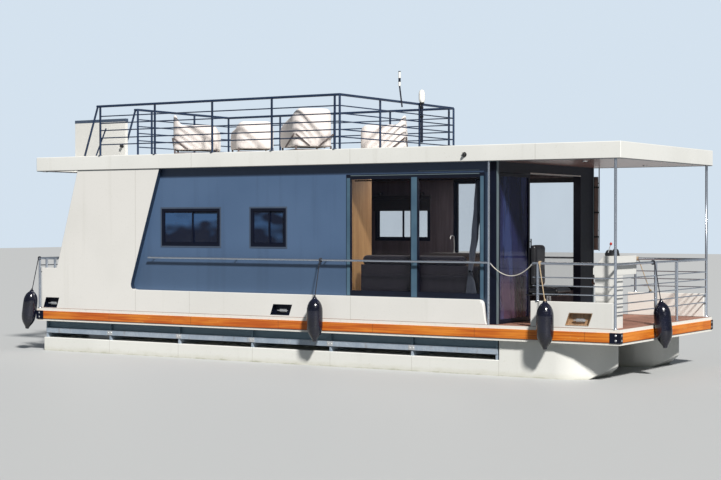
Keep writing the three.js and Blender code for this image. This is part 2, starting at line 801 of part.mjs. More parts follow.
function motor() {
  const cowlPlan = [
    [-4990, -90], [-4930, -150], [-4740, -150], [-4650, -70], [-4650, 70], [-4740, 150], [-4930, 150], [-4990, 90],
  ];
  const cowlTaper = 34;
  const cowlLow = 968;
  const cowl = joined(
    fromPlan(cowlPlan, [cowlLow, 1290]),
    fromPlan(
      cowlPlan.map(([x, y]) => [x + (x < -4800 ? cowlTaper : -cowlTaper), y - Math.sign(y) * cowlTaper]),
      [1289, 1380],
    ),
  );
  const gearcase = joined(
    bar([-4960, 0, propLine], [-4740, 0, propLine], 45, 12),
    bar([-4741, 0, propLine], [-4690, 0, propLine], 28, 12),
  );
  return joined(
    cowl,
    box([-4700, -4665], [-28, 28], [900, cowlLow + 5]),
    bar([steer, 0, 570], [steer, 0, cowlLow], 18, 16),
    box([-4820, -4745], [-40, 40], [propLine, cowlLow + 5]),
    box([-4760, -4662], [-28, 28], [566, 602]),
    box([-4990, -4715], [-100, 100], [draft - 24, draft - 12]),
    gearcase,
    fromSide([[-4900, propLine - 20], [-4860, 60], [-4810, 60], [-4730, propLine - 20]], [-6, 6]),
  );
}
place("motor", motor(), "motorBlack");

function propeller() {
  const blades = [0, 120, 240].map((deg) => {
    const blade = new THREE.BoxGeometry(10, 92, 118);
    blade.translate(0, 0, 80).rotateZ(THREE.MathUtils.degToRad(35));
    return solid(blade.rotateX(THREE.MathUtils.degToRad(deg)).translate(-4995, 0, propLine));
  });
  return joined(blades, bar([-5030, 0, propLine], [-4960 - seat, 0, propLine], 34, 12));
}
place("propeller", propeller(), "castMetal");

// Fenders: a turned body with an eye, and a line up to the rail that carries it
const fenderRadius = 115;
const fenderEye = 630;
const fenderProfile = [
  [0, 0], [34, 4], [44, 40], [92, 80], [fenderRadius, 140], [fenderRadius, 500], [92, 560], [44, 600], [34, 640],
  [0, 644],
];
const sideFenderLine = halfBeam + fenderRadius + seat;
const lineRadius = 7;
const cabinRailReach = cabinRailLine + cabinTube + lineRadius + 0.6;
const foreRailReach = foreRailLine + foreTubes.topR + lineRadius + 0.6;
const bowReach = bowPostStation + foreTubes.topR + lineRadius + 0.6;
const sternReach = sternRailCorner - foreTubes.topR - lineRadius - 0.6;
const fenders = [
  // name, foot of the body, its lean forward in degrees, upper end of its line
  ["starboard_mid", [430, -sideFenderLine, draft + 360], 0, [430, -cabinRailReach, railTop]],
  ["starboard_fore", [4060, -sideFenderLine, draft + 400], 0, [3915, -foreRailReach, railTop]],
  ["port_mid", [430, sideFenderLine, draft + 360], 0, [430, cabinRailReach, railTop]],
  ["port_fore", [4060, sideFenderLine, draft + 400], 0, [3915, foreRailReach, railTop]],
  ["bow", [5213.5, -510, draft + 383], -6, [bowReach, -390, railTop]],
  ["stern", [-5224.3, -1757.4, draft + 346], 10, [sternReach, -foreRailLine - 6, sternRailTop]],
];
function fender([x, y, foot], lean, lineEnd) {
  const points = fenderProfile.map(([radius, height]) => new THREE.Vector2(radius, height));
  const angle = THREE.MathUtils.degToRad(lean);
  const body = new THREE.LatheGeometry(points, 12).rotateX(Math.PI / 2).rotateY(angle).translate(x, y, foot);
  const eye = [x + fenderEye * Math.sin(angle), y, foot + fenderEye * Math.cos(angle)];
  return joined(solid(body), bar(eye, lineEnd, lineRadius, 6));
}
for (const [name, foot, lean, lineEnd] of fenders)
  place(`fender_${name}`, fender(foot, lean, lineEnd), "fenderBlack");

// Terrace chairs: a round-shouldered back, sloping arms and a seat on two skids with inverted-V braces
const chairs = [
  // middle in X and Y, heading that the back faces, width, depth, height of the back, front height of the arms,
  // and how far the back's outer corner stands above the rest
  { x: -2265, y: -1080, heading: -56, width: 700, depth: 700, back: 450, arm: 380, peak: 190 },
  { x: -1300, y: -950, heading: -45, width: 580, depth: 730, back: 490, arm: 350, peak: 0 },
  { x: -185, y: -1120, heading: -37, width: 600, depth: 730, back: 640, arm: 400, peak: 0 },
  { x: 280, y: 340, heading: -62, width: 700, depth: 680, back: 520, arm: 400, peak: 0 },
];
const chairSeat = 300;
function chair({ width, depth, back, arm, peak }) {
  const halfWidth = width / 2;
  const halfDepth = depth / 2;
  const shellFoot = 62;
  const shoulder = 95;
  const backShape = new THREE.Shape();
  backShape.moveTo(-halfWidth, shellFoot);
  backShape.lineTo(halfWidth, shellFoot);
  backShape.lineTo(halfWidth, back - shoulder);
  backShape.absarc(halfWidth - shoulder, back - shoulder, shoulder, 0, Math.PI / 2);
  if (peak) {
    backShape.lineTo(-halfWidth + 110, back);
    backShape.lineTo(-halfWidth, back + peak);
  } else {
    backShape.absarc(-halfWidth + shoulder, back - shoulder, shoulder, Math.PI / 2, Math.PI);
  }
  backShape.closePath();
  const armShape = [
    [-halfDepth, shellFoot], [halfDepth - 30, shellFoot], [halfDepth - 30, back - shoulder],
    [-halfDepth + 70, arm], [-halfDepth, arm - 80],
  ];
  const shell = joined(
    fromFront(backShape, [halfDepth - 60, halfDepth]),
    [[-halfWidth, -halfWidth + 50], [halfWidth - 50, halfWidth]].map((across) => fromSide(armShape, across)),
    box([-halfDepth + 15, halfDepth - 30], [-halfWidth + 20, halfWidth - 20], [shellFoot + 60, chairSeat]),
  );
  const skidRadius = 14;
  const braceRadius = 12;
  const apex = 245;
  const fore = -halfDepth + 40;
  const aft = halfDepth - 20;
  const frame = [-1, 1].flatMap((side) => {
    const line = side * (halfWidth - 30);
    const outside = side * (halfWidth + 5);
    return [
      bar([fore, line, skidRadius], [aft, line, skidRadius], skidRadius),
      bar([fore + 20, line, skidRadius], [fore + 20, line, shellFoot + 20], skidRadius),
      bar([aft - 20, line, skidRadius], [aft - 20, line, shellFoot + 20], skidRadius),
      bar([aft - 10, outside, apex], [aft - 400, outside, 70], braceRadius),
      bar([halfDepth + 5, side * (halfWidth - 10), apex], [halfDepth + 5, side * (halfWidth - 230), 70], braceRadius),
    ];
  });
  const crossTubes = [fore, aft].map((x) =>
    bar([x, -halfWidth + 30, skidRadius], [x, halfWidth - 30, skidRadius], skidRadius),
  );
  return geometryOf(joined(shell, frame, crossTubes));
}
chairs.forEach((sizes, i) => {
  const mesh = place(`chair_${i + 1}`, chair(sizes), "shellWhite");
  mesh.position.set(sizes.x, sizes.y, roofTop + seat);
  mesh.rotation.z = THREE.MathUtils.degToRad(sizes.heading);
});

// Rope across the starboard side gate, from the roof post to the fore rail's end
const ropeEndGap = 4.8; // the rope's cut end is tilted
const gateRope = {
  from: new THREE.Vector3(3150 + 16 + ropeEndGap, -foreRailLine, railTop - 10),
  to: new THREE.Vector3(foreRailAft - ropeEndGap, -foreRailLine, railTop - 6),
  sag: 165,
  radius: 6,
};
function hangingRope({ from, to, sag, radius }) {
  const steps = 20;
  const points = Array.from({ length: steps + 1 }, (_, i) => {
    const t = i / steps;
    const point = from.clone().lerp(to, t);
    point.z -= 4 * sag * t * (1 - t);
    return point;
  });
  const section = new THREE.Shape().absarc(0, 0, radius, 0, 2 * Math.PI, false);
  return solid(
    new THREE.ExtrudeGeometry(section, {
      steps: 30,
      curveSegments: 8,
      extrudePath: new THREE.CatmullRomCurve3(points),
    }),
  );
}
place("gate_rope", hangingRope(gateRope), "ropeWhite");

export default boat;
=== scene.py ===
# Looks of a pontoon houseboat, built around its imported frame: metres, +X to the bow, +Y to port, +Z up.
import json
import math

import bmesh
import bpy
from mathutils import Matrix, Vector

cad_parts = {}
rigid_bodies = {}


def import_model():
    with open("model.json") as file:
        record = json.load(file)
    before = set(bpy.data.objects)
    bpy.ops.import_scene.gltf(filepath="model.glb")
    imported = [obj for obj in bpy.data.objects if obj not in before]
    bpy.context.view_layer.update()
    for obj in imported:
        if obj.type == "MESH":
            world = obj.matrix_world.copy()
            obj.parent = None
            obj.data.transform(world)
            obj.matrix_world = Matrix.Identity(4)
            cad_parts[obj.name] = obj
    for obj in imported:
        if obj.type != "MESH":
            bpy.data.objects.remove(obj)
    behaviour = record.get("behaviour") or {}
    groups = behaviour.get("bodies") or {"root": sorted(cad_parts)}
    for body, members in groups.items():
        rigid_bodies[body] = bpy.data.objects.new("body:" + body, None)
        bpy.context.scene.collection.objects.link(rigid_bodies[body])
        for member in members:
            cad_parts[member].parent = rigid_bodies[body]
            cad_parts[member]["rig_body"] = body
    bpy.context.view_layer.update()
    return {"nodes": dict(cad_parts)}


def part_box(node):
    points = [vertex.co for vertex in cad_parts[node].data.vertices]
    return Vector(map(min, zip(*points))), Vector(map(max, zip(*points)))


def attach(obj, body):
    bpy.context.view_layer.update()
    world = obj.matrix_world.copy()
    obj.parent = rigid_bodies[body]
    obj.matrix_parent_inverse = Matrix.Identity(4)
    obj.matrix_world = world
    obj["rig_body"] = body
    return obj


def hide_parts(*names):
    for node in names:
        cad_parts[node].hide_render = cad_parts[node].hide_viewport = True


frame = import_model()
nodes = frame["nodes"]
waterline = 0.40  # above the flat bottoms
print("frame loaded:", len(nodes), "nodes")


def linked(name, data):  # a new object in the scene
    made = bpy.data.objects.new(name, data)
    bpy.context.scene.collection.objects.link(made)
    return made


# finishes: a wrapped socket, and one method that adds any node
class Reading:
    def __init__(self, finish, socket):
        self.finish = finish
        self.socket = socket

    def maths(self, operation, other=0.0, turned=False):
        pair = (other, self) if turned else (self, other)
        return self.finish.add("ShaderNodeMath", {"operation": operation}, dict(enumerate(pair)))

    def __add__(self, other):
        return self.maths("ADD", other)

    __radd__ = __add__

    def __sub__(self, other):
        return self.maths("SUBTRACT", other)

    def __rsub__(self, other):
        return self.maths("SUBTRACT", other, turned=True)

    def __mul__(self, other):
        return self.maths("MULTIPLY", other)

    def __truediv__(self, other):
        return self.maths("DIVIDE", other)

    def __abs__(self):
        return self.maths("ABSOLUTE")

    def over(self, level, softness=0.001):  # 0 below the level, 1 above it, with a soft edge
        levels = {"Value": self, "From Min": level - softness, "From Max": level + softness}
        return self.finish.add("ShaderNodeMapRange", {"interpolation_type": "SMOOTHSTEP"}, levels)

    def under(self, level, softness=0.001):
        return 1.0 - self.over(level, softness)


class Finish:
    def __init__(self, name, colour, roughness=0.5, metallic=0.0, **constants):
        self.material = bpy.data.materials.new(name)
        self.material.use_nodes = True
        self.tree = self.material.node_tree
        self.shader = self.tree.nodes["Principled BSDF"]
        self.colour = (*colour, 1.0)
        self.bumped = None
        self.put("Base Color", self.colour)
        self.put("Roughness", roughness)
        self.put("Metallic", metallic)
        for socket, value in constants.items():
            self.put(socket.replace("_", " "), value)
        self.place = self.add("ShaderNodeTexCoord", output="Object")

    def add(self, kind, settings=None, inputs=None, output=0):
        node = self.tree.nodes.new(kind)
        for setting, value in (settings or {}).items():
            setattr(node, setting, value)
        for socket, value in (inputs or {}).items():
            self.feed(node.inputs[socket], value)
        return Reading(self, node.outputs[output])

    def feed(self, socket, value):
        if isinstance(value, Reading):
            self.tree.links.new(value.socket, socket)
        else:
            socket.default_value = value

    def put(self, socket, value):
        self.feed(self.shader.inputs[socket], value)

    def stretched(self, scale):
        if not scale:
            return self.place
        return self.add("ShaderNodeMapping", None, {"Vector": self.place, "Scale": scale})

    def noise(self, scale, detail=3.0, stretch=None, roughness=0.5):
        inputs = {"Vector": self.stretched(stretch), "Scale": scale, "Detail": detail, "Roughness": roughness}
        return self.add("ShaderNodeTexNoise", None, inputs, "Fac")

    def cells(self, scale, stretch=None, output="Distance"):
        inputs = {"Vector": self.stretched(stretch), "Scale": scale}
        return self.add("ShaderNodeTexVoronoi", None, inputs, output)

    def along(self, axis):
        return self.add("ShaderNodeSeparateXYZ", None, {0: self.place}, axis)

    def facing(self, axis):  # part of the surface's own direction
        normal = self.add("ShaderNodeNewGeometry", output="Normal")
        return self.add("ShaderNodeSeparateXYZ", None, {0: normal}, axis)

    def blend(self, mask, first, second):
        inputs = {0: mask, 6: self.rgba(first), 7: self.rgba(second)}
        return self.add("ShaderNodeMix", {"data_type": "RGBA"}, inputs, 2)

    def rgba(self, colour):
        return colour if isinstance(colour, Reading) else (*colour[:3], 1.0)

    def tint(self, mask, colour, strength=1.0):  # lays a colour over what there is
        self.colour = self.blend(mask * strength, self.colour, colour)
        self.put("Base Color", self.colour)

    def relief(self, height, distance=0.002, strength=1.0):
        inputs = {"Height": height, "Distance": distance, "Strength": strength}
        if self.bumped:
            inputs["Normal"] = self.bumped
        self.bumped = self.add("ShaderNodeBump", None, inputs, "Normal")
        self.put("Normal", self.bumped)


# camera, light and floor
studio = {
    "cameraPlace": (13.22, -20.85, 2.47),
    "cameraAzimuth": 32.26,  # degrees, to the left of straight across the boat
    "cameraPitch": 0.63,  # degrees, downwards
    "lens": 80.1,
    "sensorWidth": 36.0,
    "clipEnd": 500.0,
    "sunFrom": (0.33, -0.27, 0.36),
    "sunStrength": 5.0,
    "sunSpread": 5.5,  # degrees
    "sunColour": (1.0, 0.975, 0.94),
    "skyColour": (0.80, 0.89, 1.0),
    "skyStrength": 0.22,
    "backdropColour": (0.66, 0.76, 0.86),  # what the camera sees behind the boat
    "floorSize": 160.0,
    "floorColour": (0.52, 0.53, 0.53),
    "floorBounce": (0.06, 0.07, 0.075),  # what diffuse light sees of it, as dark as water
    "floorRoughness": 0.6,
    "cabinLight": {"place": (1.70, 0.10, 3.20), "size": (2.0, 1.8), "power": 34.0, "colour": (1.0, 0.93, 0.86)},
}


def makeStudio(s):
    scene = bpy.context.scene
    scene.view_settings.view_transform = "Standard"
    azimuth, pitch = math.radians(s["cameraAzimuth"]), math.radians(s["cameraPitch"])
    level = math.cos(pitch)
    look = Vector((-math.sin(azimuth) * level, math.cos(azimuth) * level, -math.sin(pitch)))
    camera = linked("camera", bpy.data.cameras.new("camera"))
    camera.data.lens = s["lens"]
    camera.data.sensor_width = s["sensorWidth"]
    camera.data.clip_end = s["clipEnd"]
    camera.location = s["cameraPlace"]
    camera.rotation_euler = look.to_track_quat("-Z", "Y").to_euler()
    scene.camera = camera

    sun = linked("sun", bpy.data.lights.new("sun", "SUN"))
    sun.data.energy = s["sunStrength"]
    sun.data.angle = math.radians(s["sunSpread"])
    sun.data.color = s["sunColour"]
    sun.rotation_euler = Vector(s["sunFrom"]).to_track_quat("Z", "Y").to_euler()

    world = bpy.data.worlds.new("sky")
    world.use_nodes = True
    scene.world = world
    made, join = world.node_tree.nodes, world.node_tree.links.new
    rays, seen = made.new("ShaderNodeLightPath"), made.new("ShaderNodeMixShader")
    backdrop, sky = made.new("ShaderNodeBackground"), made["Background"]
    backdrop.inputs["Color"].default_value = (*s["backdropColour"], 1.0)
    sky.inputs["Color"].default_value = (*s["skyColour"], 1.0)
    sky.inputs["Strength"].default_value = s["skyStrength"]
    join(rays.outputs["Is Camera Ray"], seen.inputs[0])
    join(sky.outputs[0], seen.inputs[1])
    join(backdrop.outputs[0], seen.inputs[2])
    join(seen.outputs[0], made["World Output"].inputs["Surface"])

    bm = bmesh.new()
    bmesh.ops.create_grid(bm, x_segments=1, y_segments=1, size=s["floorSize"] / 2)
    bmesh.ops.translate(bm, vec=(0, 0, waterline), verts=bm.verts)
    mesh = bpy.data.meshes.new("floor")
    bm.to_mesh(mesh)
    bm.free()
    plain = Finish("floor", s["floorColour"], s["floorRoughness"])
    plain.tint(plain.add("ShaderNodeLightPath", output="Is Diffuse Ray"), s["floorBounce"])
    mesh.materials.append(plain.material)
    linked("floor", mesh)


def makeCabinLight(c):  # soft light from the cabin's ceiling
    light = linked("cabin_light", bpy.data.lights.new("cabin_light", "AREA"))
    light.data.shape = "RECTANGLE"
    light.data.size, light.data.size_y = c["size"]
    light.data.energy = c["power"]
    light.data.color = c["colour"]
    light.location = c["place"]


makeStudio(studio)
makeCabinLight(studio["cabinLight"])
print("studio ready")


def tone(red, green, blue):  # screen colour, 0 to 255, as the shader wants it
    steps = [value / 255 for value in (red, green, blue)]
    return tuple(v / 12.92 if v <= 0.04045 else ((v + 0.055) / 1.055) ** 2.4 for v in steps)


def whiteHull(name, colour, seams=(), stained=False, underside=None, shadedRake=False):
    f = Finish(name, colour, 0.32, 0.0, Coat_Weight=0.3, Coat_Roughness=0.1)
    f.tint(f.noise(0.9, 4).over(0.5, 0.16), tone(216, 216, 210), 0.25)  # slow clouding of old gelcoat
    f.tint(f.noise(7.0, 4, stretch=(1.0, 1.0, 0.05)).over(0.66, 0.08), tone(204, 202, 192), 0.14)  # rain streaks
    grime = f.noise(34.0, 5)
    f.tint(grime.over(0.66, 0.07), tone(188, 184, 170), 0.14)
    for station in seams:
        line = abs(f.along("X") - station).under(0.003, 0.0015)
        f.tint(line * abs(f.facing("Y")), tone(176, 172, 160), 0.6)
        f.relief(1.0 - line, 0.002, 0.6)
    if stained:
        height = f.along("Z") - waterline
        ragged = height + f.noise(6.0, 5, stretch=(1.0, 1.0, 2.5)) * 0.09
        f.tint(ragged.under(0.09, 0.05), tone(206, 205, 186), 0.5)
        f.tint(ragged.under(0.045, 0.02), tone(150, 152, 124), 0.6)
        f.tint(height.under(-0.02, 0.03), tone(58, 66, 54), 0.85)
        f.put("Roughness", 0.32 + ragged.under(0.1, 0.06) * 0.35)
    if underside:
        f.tint(f.facing("Z").under(-0.5, 0.1), underside)
    if shadedRake:  # painted shade: the raked edge of the aft screen and its corner fillet are darkened where the sun would light them
        edge = f.facing("X").over(0.2, 0.03) * f.along("X").under(-1.9, 0.02) * f.along("Z").over(1.436, 0.008)
        f.tint(edge, tone(30, 44, 64))
    f.relief(grime, 0.0006, 0.25)
    return f


def roofSkin(name, colour, seams, underside):  # with fine-grained panels to walk on
    f = whiteHull(name, colour, seams, underside=underside)
    panels = 0.0
    for middleX, halfX, middleY, halfY in roofPanels:
        inX = abs(f.along("X") - middleX).under(halfX, 0.002)
        inY = abs(f.along("Y") - middleY).under(halfY, 0.002)
        panels = panels + inX * inY
    grit = f.cells(160.0)
    panels = panels * f.facing("Z").over(0.9, 0.05)
    f.tint(panels, tone(214, 212, 204), 0.6)
    f.relief(grit * panels, 0.002, 0.8)
    return f


def slateWall(name):  # painted sheet outside, veneered panel inside
    f = Finish(name, tone(76, 101, 134), 0.42, 0.0, Coat_Weight=0.15, Coat_Roughness=0.25)
    f.tint(f.noise(0.8, 3).over(0.5, 0.2), tone(90, 115, 148), 0.45)
    f.tint(f.noise(5.0, 4, stretch=(1.0, 1.0, 0.06)).over(0.6, 0.1), tone(60, 80, 108), 0.3)
    f.tint(f.noise(90.0, 3).over(0.64, 0.06), tone(104, 124, 150), 0.15)
    f.tint(f.along("Z").under(1.95, 0.25), tone(62, 82, 106), 0.5)
    # painted shadow: the top of the wall is darkened, deepening the shadow cast by the roof overhang
    f.tint(f.along("Z").over(3.15, 0.012), tone(34, 50, 76), 0.75)
    inside = abs(f.along("Y")).under(1.565, 0.002) * f.along("X").under(3.115, 0.01)
    grain = f.noise(3.0, 6, stretch=(7.0, 7.0, 0.5), roughness=0.62)
    veneer = f.blend(grain.over(0.5, 0.2), tone(92, 86, 94), tone(74, 68, 76))
    f.tint(inside, veneer)
    f.put("Roughness", 0.42 + inside * 0.15 + f.noise(11.0, 3) * 0.08)
    f.relief(f.noise(150.0, 2), 0.0004, 0.2)
    return f


def pineRail(name):
    f = Finish(name, tone(206, 104, 32), 0.5, 0.0, Coat_Weight=0.1, Coat_Roughness=0.35)
    sunlit = ((f.along("X") + 5.0) / 10.0).over(0.86, 0.42)
    f.tint(sunlit, tone(228, 130, 22), 0.85)
    rings = f.noise(5.0, 6, stretch=(0.22, 0.22, 9.0), roughness=0.6)
    f.tint(rings.over(0.53, 0.09), tone(160, 66, 16), 0.5)
    f.tint(rings.under(0.44, 0.07), tone(240, 158, 62), 0.45)
    f.tint(f.noise(1.1, 3, stretch=(0.9, 0.9, 3.0)).over(0.54, 0.08), tone(238, 150, 50), 0.4)
    hairs = f.noise(34.0, 3, stretch=(0.12, 0.12, 6.0))
    f.tint(hairs.over(0.6, 0.08), tone(132, 56, 18), 0.25)
    knots = f.cells(1.0, stretch=(1.3, 1.3, 7.0))
    f.tint(knots.under(0.10, 0.04), tone(236, 166, 84), 0.4)
    f.tint(knots.under(0.035, 0.015), tone(112, 48, 16), 0.7)
    nicks = f.cells(1.0, stretch=(9.0, 9.0, 26.0)).under(0.10, 0.04) * f.noise(1.7, 2).over(0.55, 0.04)
    f.tint(nicks, tone(246, 196, 120), 0.6)
    board = f.along("X") * abs(f.facing("Y")) + f.along("Y") * abs(f.facing("X"))
    joint = (board / 1.62 + 20.18).maths("FRACT")
    gap = joint.under(0.0025, 0.001)
    f.tint(gap, tone(70, 30, 14), 0.9)
    edge = f.along("Z").under(0.924, 0.006)
    f.tint(edge, tone(84, 32, 16), 0.85)  # darker along the lower edge
    f.put("Roughness", 0.48 + rings * 0.2)
    f.relief(hairs + rings - gap * 2.0, 0.0016, 0.5)
    return f


def deckBoards(name):  # brown boards on top, a pale edge that shows over and under the rub rail
    f = Finish(name, tone(168, 122, 104), 0.7)
    boards = f.along("Y") / 0.145 + 40.0
    across, board = boards.maths("FRACT"), boards.maths("FLOOR")
    shade = f.add("ShaderNodeTexWhiteNoise", {"noise_dimensions": "1D"}, {"W": board}, "Value")
    f.tint(shade, tone(140, 98, 82), 0.55)
    f.tint(f.noise(9.0, 5, stretch=(0.2, 3.0, 1.0)).over(0.52, 0.1), tone(112, 78, 64), 0.35)
    groove = across.under(0.045, 0.012)
    f.tint(groove, tone(38, 28, 24), 0.9)
    edge = f.facing("Z").under(0.5, 0.05)
    f.tint(edge, tone(238, 236, 228))
    f.tint(edge * f.noise(16.0, 4).over(0.62, 0.1), tone(206, 200, 182), 0.3)
    f.put("Roughness", 0.72 - edge * 0.3)
    f.relief(1.0 - groove * f.facing("Z"), 0.003, 0.7)
    return f


def zincFrame(name):
    f = Finish(name, tone(166, 180, 194), 0.42, 0.2)
    spangle = f.cells(36.0, output="Color")
    grey = f.add("ShaderNodeRGBToBW", None, {0: spangle})
    f.tint(grey.over(0.5, 0.3), tone(190, 200, 210), 0.5)
    f.tint(f.noise(3.0, 4).over(0.55, 0.12), tone(140, 156, 174), 0.5)
    f.tint(f.noise(14.0, 5, stretch=(1.0, 1.0, 0.3)).over(0.66, 0.06), tone(124, 96, 66), 0.3)
    f.tint(f.along("Z").over(0.7655, 0.001), tone(104, 128, 142), 0.95)  # painted shade: the web above the lower flange is darkened, as it lies in the shadow under the rub rail
    f.put("Roughness", 0.38 + grey * 0.22)
    f.relief(grey, 0.0005, 0.2)
    return f


def paintedMetal(name, colour, worn, roughness=0.4, metallic=0.0, sheen=0.5):
    f = Finish(name, colour, roughness, metallic, Specular_IOR_Level=sheen)
    f.tint(f.noise(4.0, 4).over(0.52, 0.16), worn, 0.35)
    f.tint(f.noise(60.0, 4).over(0.66, 0.05), worn, 0.5)
    f.put("Roughness", roughness - 0.06 + f.noise(22.0, 3) * 0.14)
    f.relief(f.noise(180.0, 2), 0.0003, 0.25)
    return f


def brushedSteel(name, colour, roughness, metallic):
    f = Finish(name, colour, roughness, metallic)
    lines = f.noise(260.0, 2)
    f.tint(lines.over(0.5, 0.2), tuple(0.75 * c for c in colour), 0.3)
    f.tint(f.noise(9.0, 5).over(0.66, 0.08), tone(120, 96, 76), 0.12)  # tea staining
    f.put("Roughness", roughness - 0.05 + lines * 0.1)
    f.relief(lines, 0.0001, 0.08)
    return f


def tintedGlass(name, colour, clear):
    f = Finish(name, colour, 0.03, 0.0, Specular_IOR_Level=0.9)
    edge = f.add("ShaderNodeFresnel", None, {"IOR": 1.5})
    smears = f.noise(1.6, 4, stretch=(1.0, 1.0, 0.4)).over(0.56, 0.18)
    f.put("Alpha", (1.0 - clear) + edge * 0.6 + smears * 0.02)
    f.put("Roughness", 0.02 + smears * 0.07)
    return f


def smallPane(name):  # dark glass with a painted reflection: a soft patch of sky in it
    f = tintedGlass(name, tone(17, 26, 51), 0.30)
    f.tint(f.noise(1.3, 2, stretch=(1.0, 1.0, 1.6)).over(0.52, 0.05), tone(78, 120, 172), 0.7)
    return f


def doorPane(name):  # blue glass with painted reflections: warmer low down where it mirrors the deck, and streaks of mirrored sky and dark shapes
    f = tintedGlass(name, tone(58, 62, 112), 0.72)
    f.tint(f.along("Z").under(1.72, 0.12), tone(134, 100, 118), 0.6)
    f.tint(f.noise(2.2, 3, stretch=(2.0, 2.0, 0.35)).over(0.55, 0.06), tone(96, 116, 176), 0.55)
    f.tint(f.noise(3.4, 3, stretch=(3.0, 3.0, 0.3)).over(0.60, 0.05), tone(16, 20, 48), 0.7)
    return f


def glazingBars(name):  # grey outside on the upright bars, with dark gaskets; dark elsewhere, and painted shade at their tops under the roof
    f = paintedMetal(name, tone(14, 19, 33), tone(26, 32, 50), 0.42, 0.0, 0.25)
    outward = (f.along("Y") * f.facing("Y")).over(1.0, 0.2)
    upright = 0.0
    for middle, halfWidth in ((0.865, 0.028), (1.950, 0.046), (3.015, 0.026)):
        upright = upright + abs(f.along("X") - middle).under(halfWidth, 0.003)
    # painted shade: above z 3.10 the upright bars stay dark, as in the shadow under the roof
    clear = f.along("Z").under(3.10, 0.004)
    sheen = f.blend(f.noise(3.0, 4).over(0.5, 0.2), tone(84, 112, 130), tone(70, 96, 116))
    f.tint(outward * upright * clear, sheen)
    return f


def veneer(name, light, dark):
    f = Finish(name, light, 0.45, 0.0, Coat_Weight=0.15, Coat_Roughness=0.3)
    grain = f.noise(2.6, 6, stretch=(6.0, 6.0, 0.5), roughness=0.6)
    f.tint(grain.over(0.5, 0.12), dark, 0.55)
    f.tint(f.noise(40.0, 3, stretch=(5.0, 5.0, 0.25)).over(0.58, 0.08), dark, 0.35)
    f.put("Roughness", 0.4 + grain * 0.18)
    f.relief(grain, 0.0006, 0.3)
    return f


def joineryWood(name):  # a pale partition aft, a dark galley forward of it
    f = veneer(name, tone(226, 182, 128), tone(188, 140, 92))
    grain = f.noise(2.6, 6, stretch=(0.6, 6.0, 6.0), roughness=0.6).over(0.5, 0.15)
    dark = f.blend(grain, tone(80, 72, 78), tone(62, 56, 62))
    f.tint(f.along("X").over(0.803, 0.002), dark)
    worktop = f.along("Z").over(1.948, 0.001) * f.along("Y").over(0.90, 0.01)
    f.tint(worktop * f.along("Z").under(2.0, 0.01), f.blend(f.noise(60.0, 4), tone(44, 42, 46), tone(92, 88, 90)))
    return f


def wovenCloth(name, colour, shade, pitch=0.004, roughness=0.85):
    f = Finish(name, colour, roughness, 0.0, Sheen_Weight=0.25)
    strands = [f.along(axis).maths("PINGPONG", pitch / 2) / (pitch / 2) for axis in ("X", "Y", "Z")]
    weave = strands[0] * 0.34 + strands[1] * 0.33 + strands[2] * 0.33
    f.tint(weave.under(0.4, 0.2), shade, 0.55)
    f.tint(f.noise(5.0, 4).over(0.52, 0.16), shade, 0.3)
    f.relief(weave, 0.0008, 0.6)
    return f


def mouldedVinyl(name, colour, highlight, roughness=0.3, grainScale=420.0):
    f = Finish(name, colour, roughness, 0.0, Coat_Weight=0.25, Coat_Roughness=0.15)
    f.tint(f.noise(5.0, 4).over(0.54, 0.15), highlight, 0.3)
    scuffs = f.noise(26.0, 5, stretch=(1.0, 1.0, 2.6))
    f.tint(scuffs.over(0.66, 0.05), highlight, 0.5)
    f.put("Roughness", roughness - 0.05 + scuffs.over(0.6, 0.12) * 0.22)
    f.relief(f.cells(grainScale), 0.0004, 0.35)
    return f


def domeShell(name):  # a white dome on a dark pole
    f = mouldedVinyl(name, tone(240, 240, 236), tone(216, 216, 210), 0.3, 500.0)
    f.tint(f.along("Z").under(4.312, 0.001), tone(22, 30, 48))
    return f


def antennaRod(name):  # dark, with two white bands
    f = mouldedVinyl(name, tone(18, 24, 40), tone(34, 42, 62), 0.35, 500.0)
    for low, high in ((4.646, 4.736), (4.525, 4.585)):
        middle, half = (low + high) / 2, (high - low) / 2
        f.tint(abs(f.along("Z") - middle).under(half, 0.001), tone(232, 232, 228))
    return f


def twistedRope(name, colour, shade, pitch=0.02):
    f = Finish(name, colour, 0.85, 0.0, Sheen_Weight=0.2)
    slant = f.along("X") + f.along("Z") * 0.7 + f.along("Y") * 0.7
    lay = slant.maths("PINGPONG", pitch / 2) / (pitch / 2)
    f.tint(lay.under(0.35, 0.25), shade, 0.7)
    f.relief(lay, 0.002, 0.8)
    return f


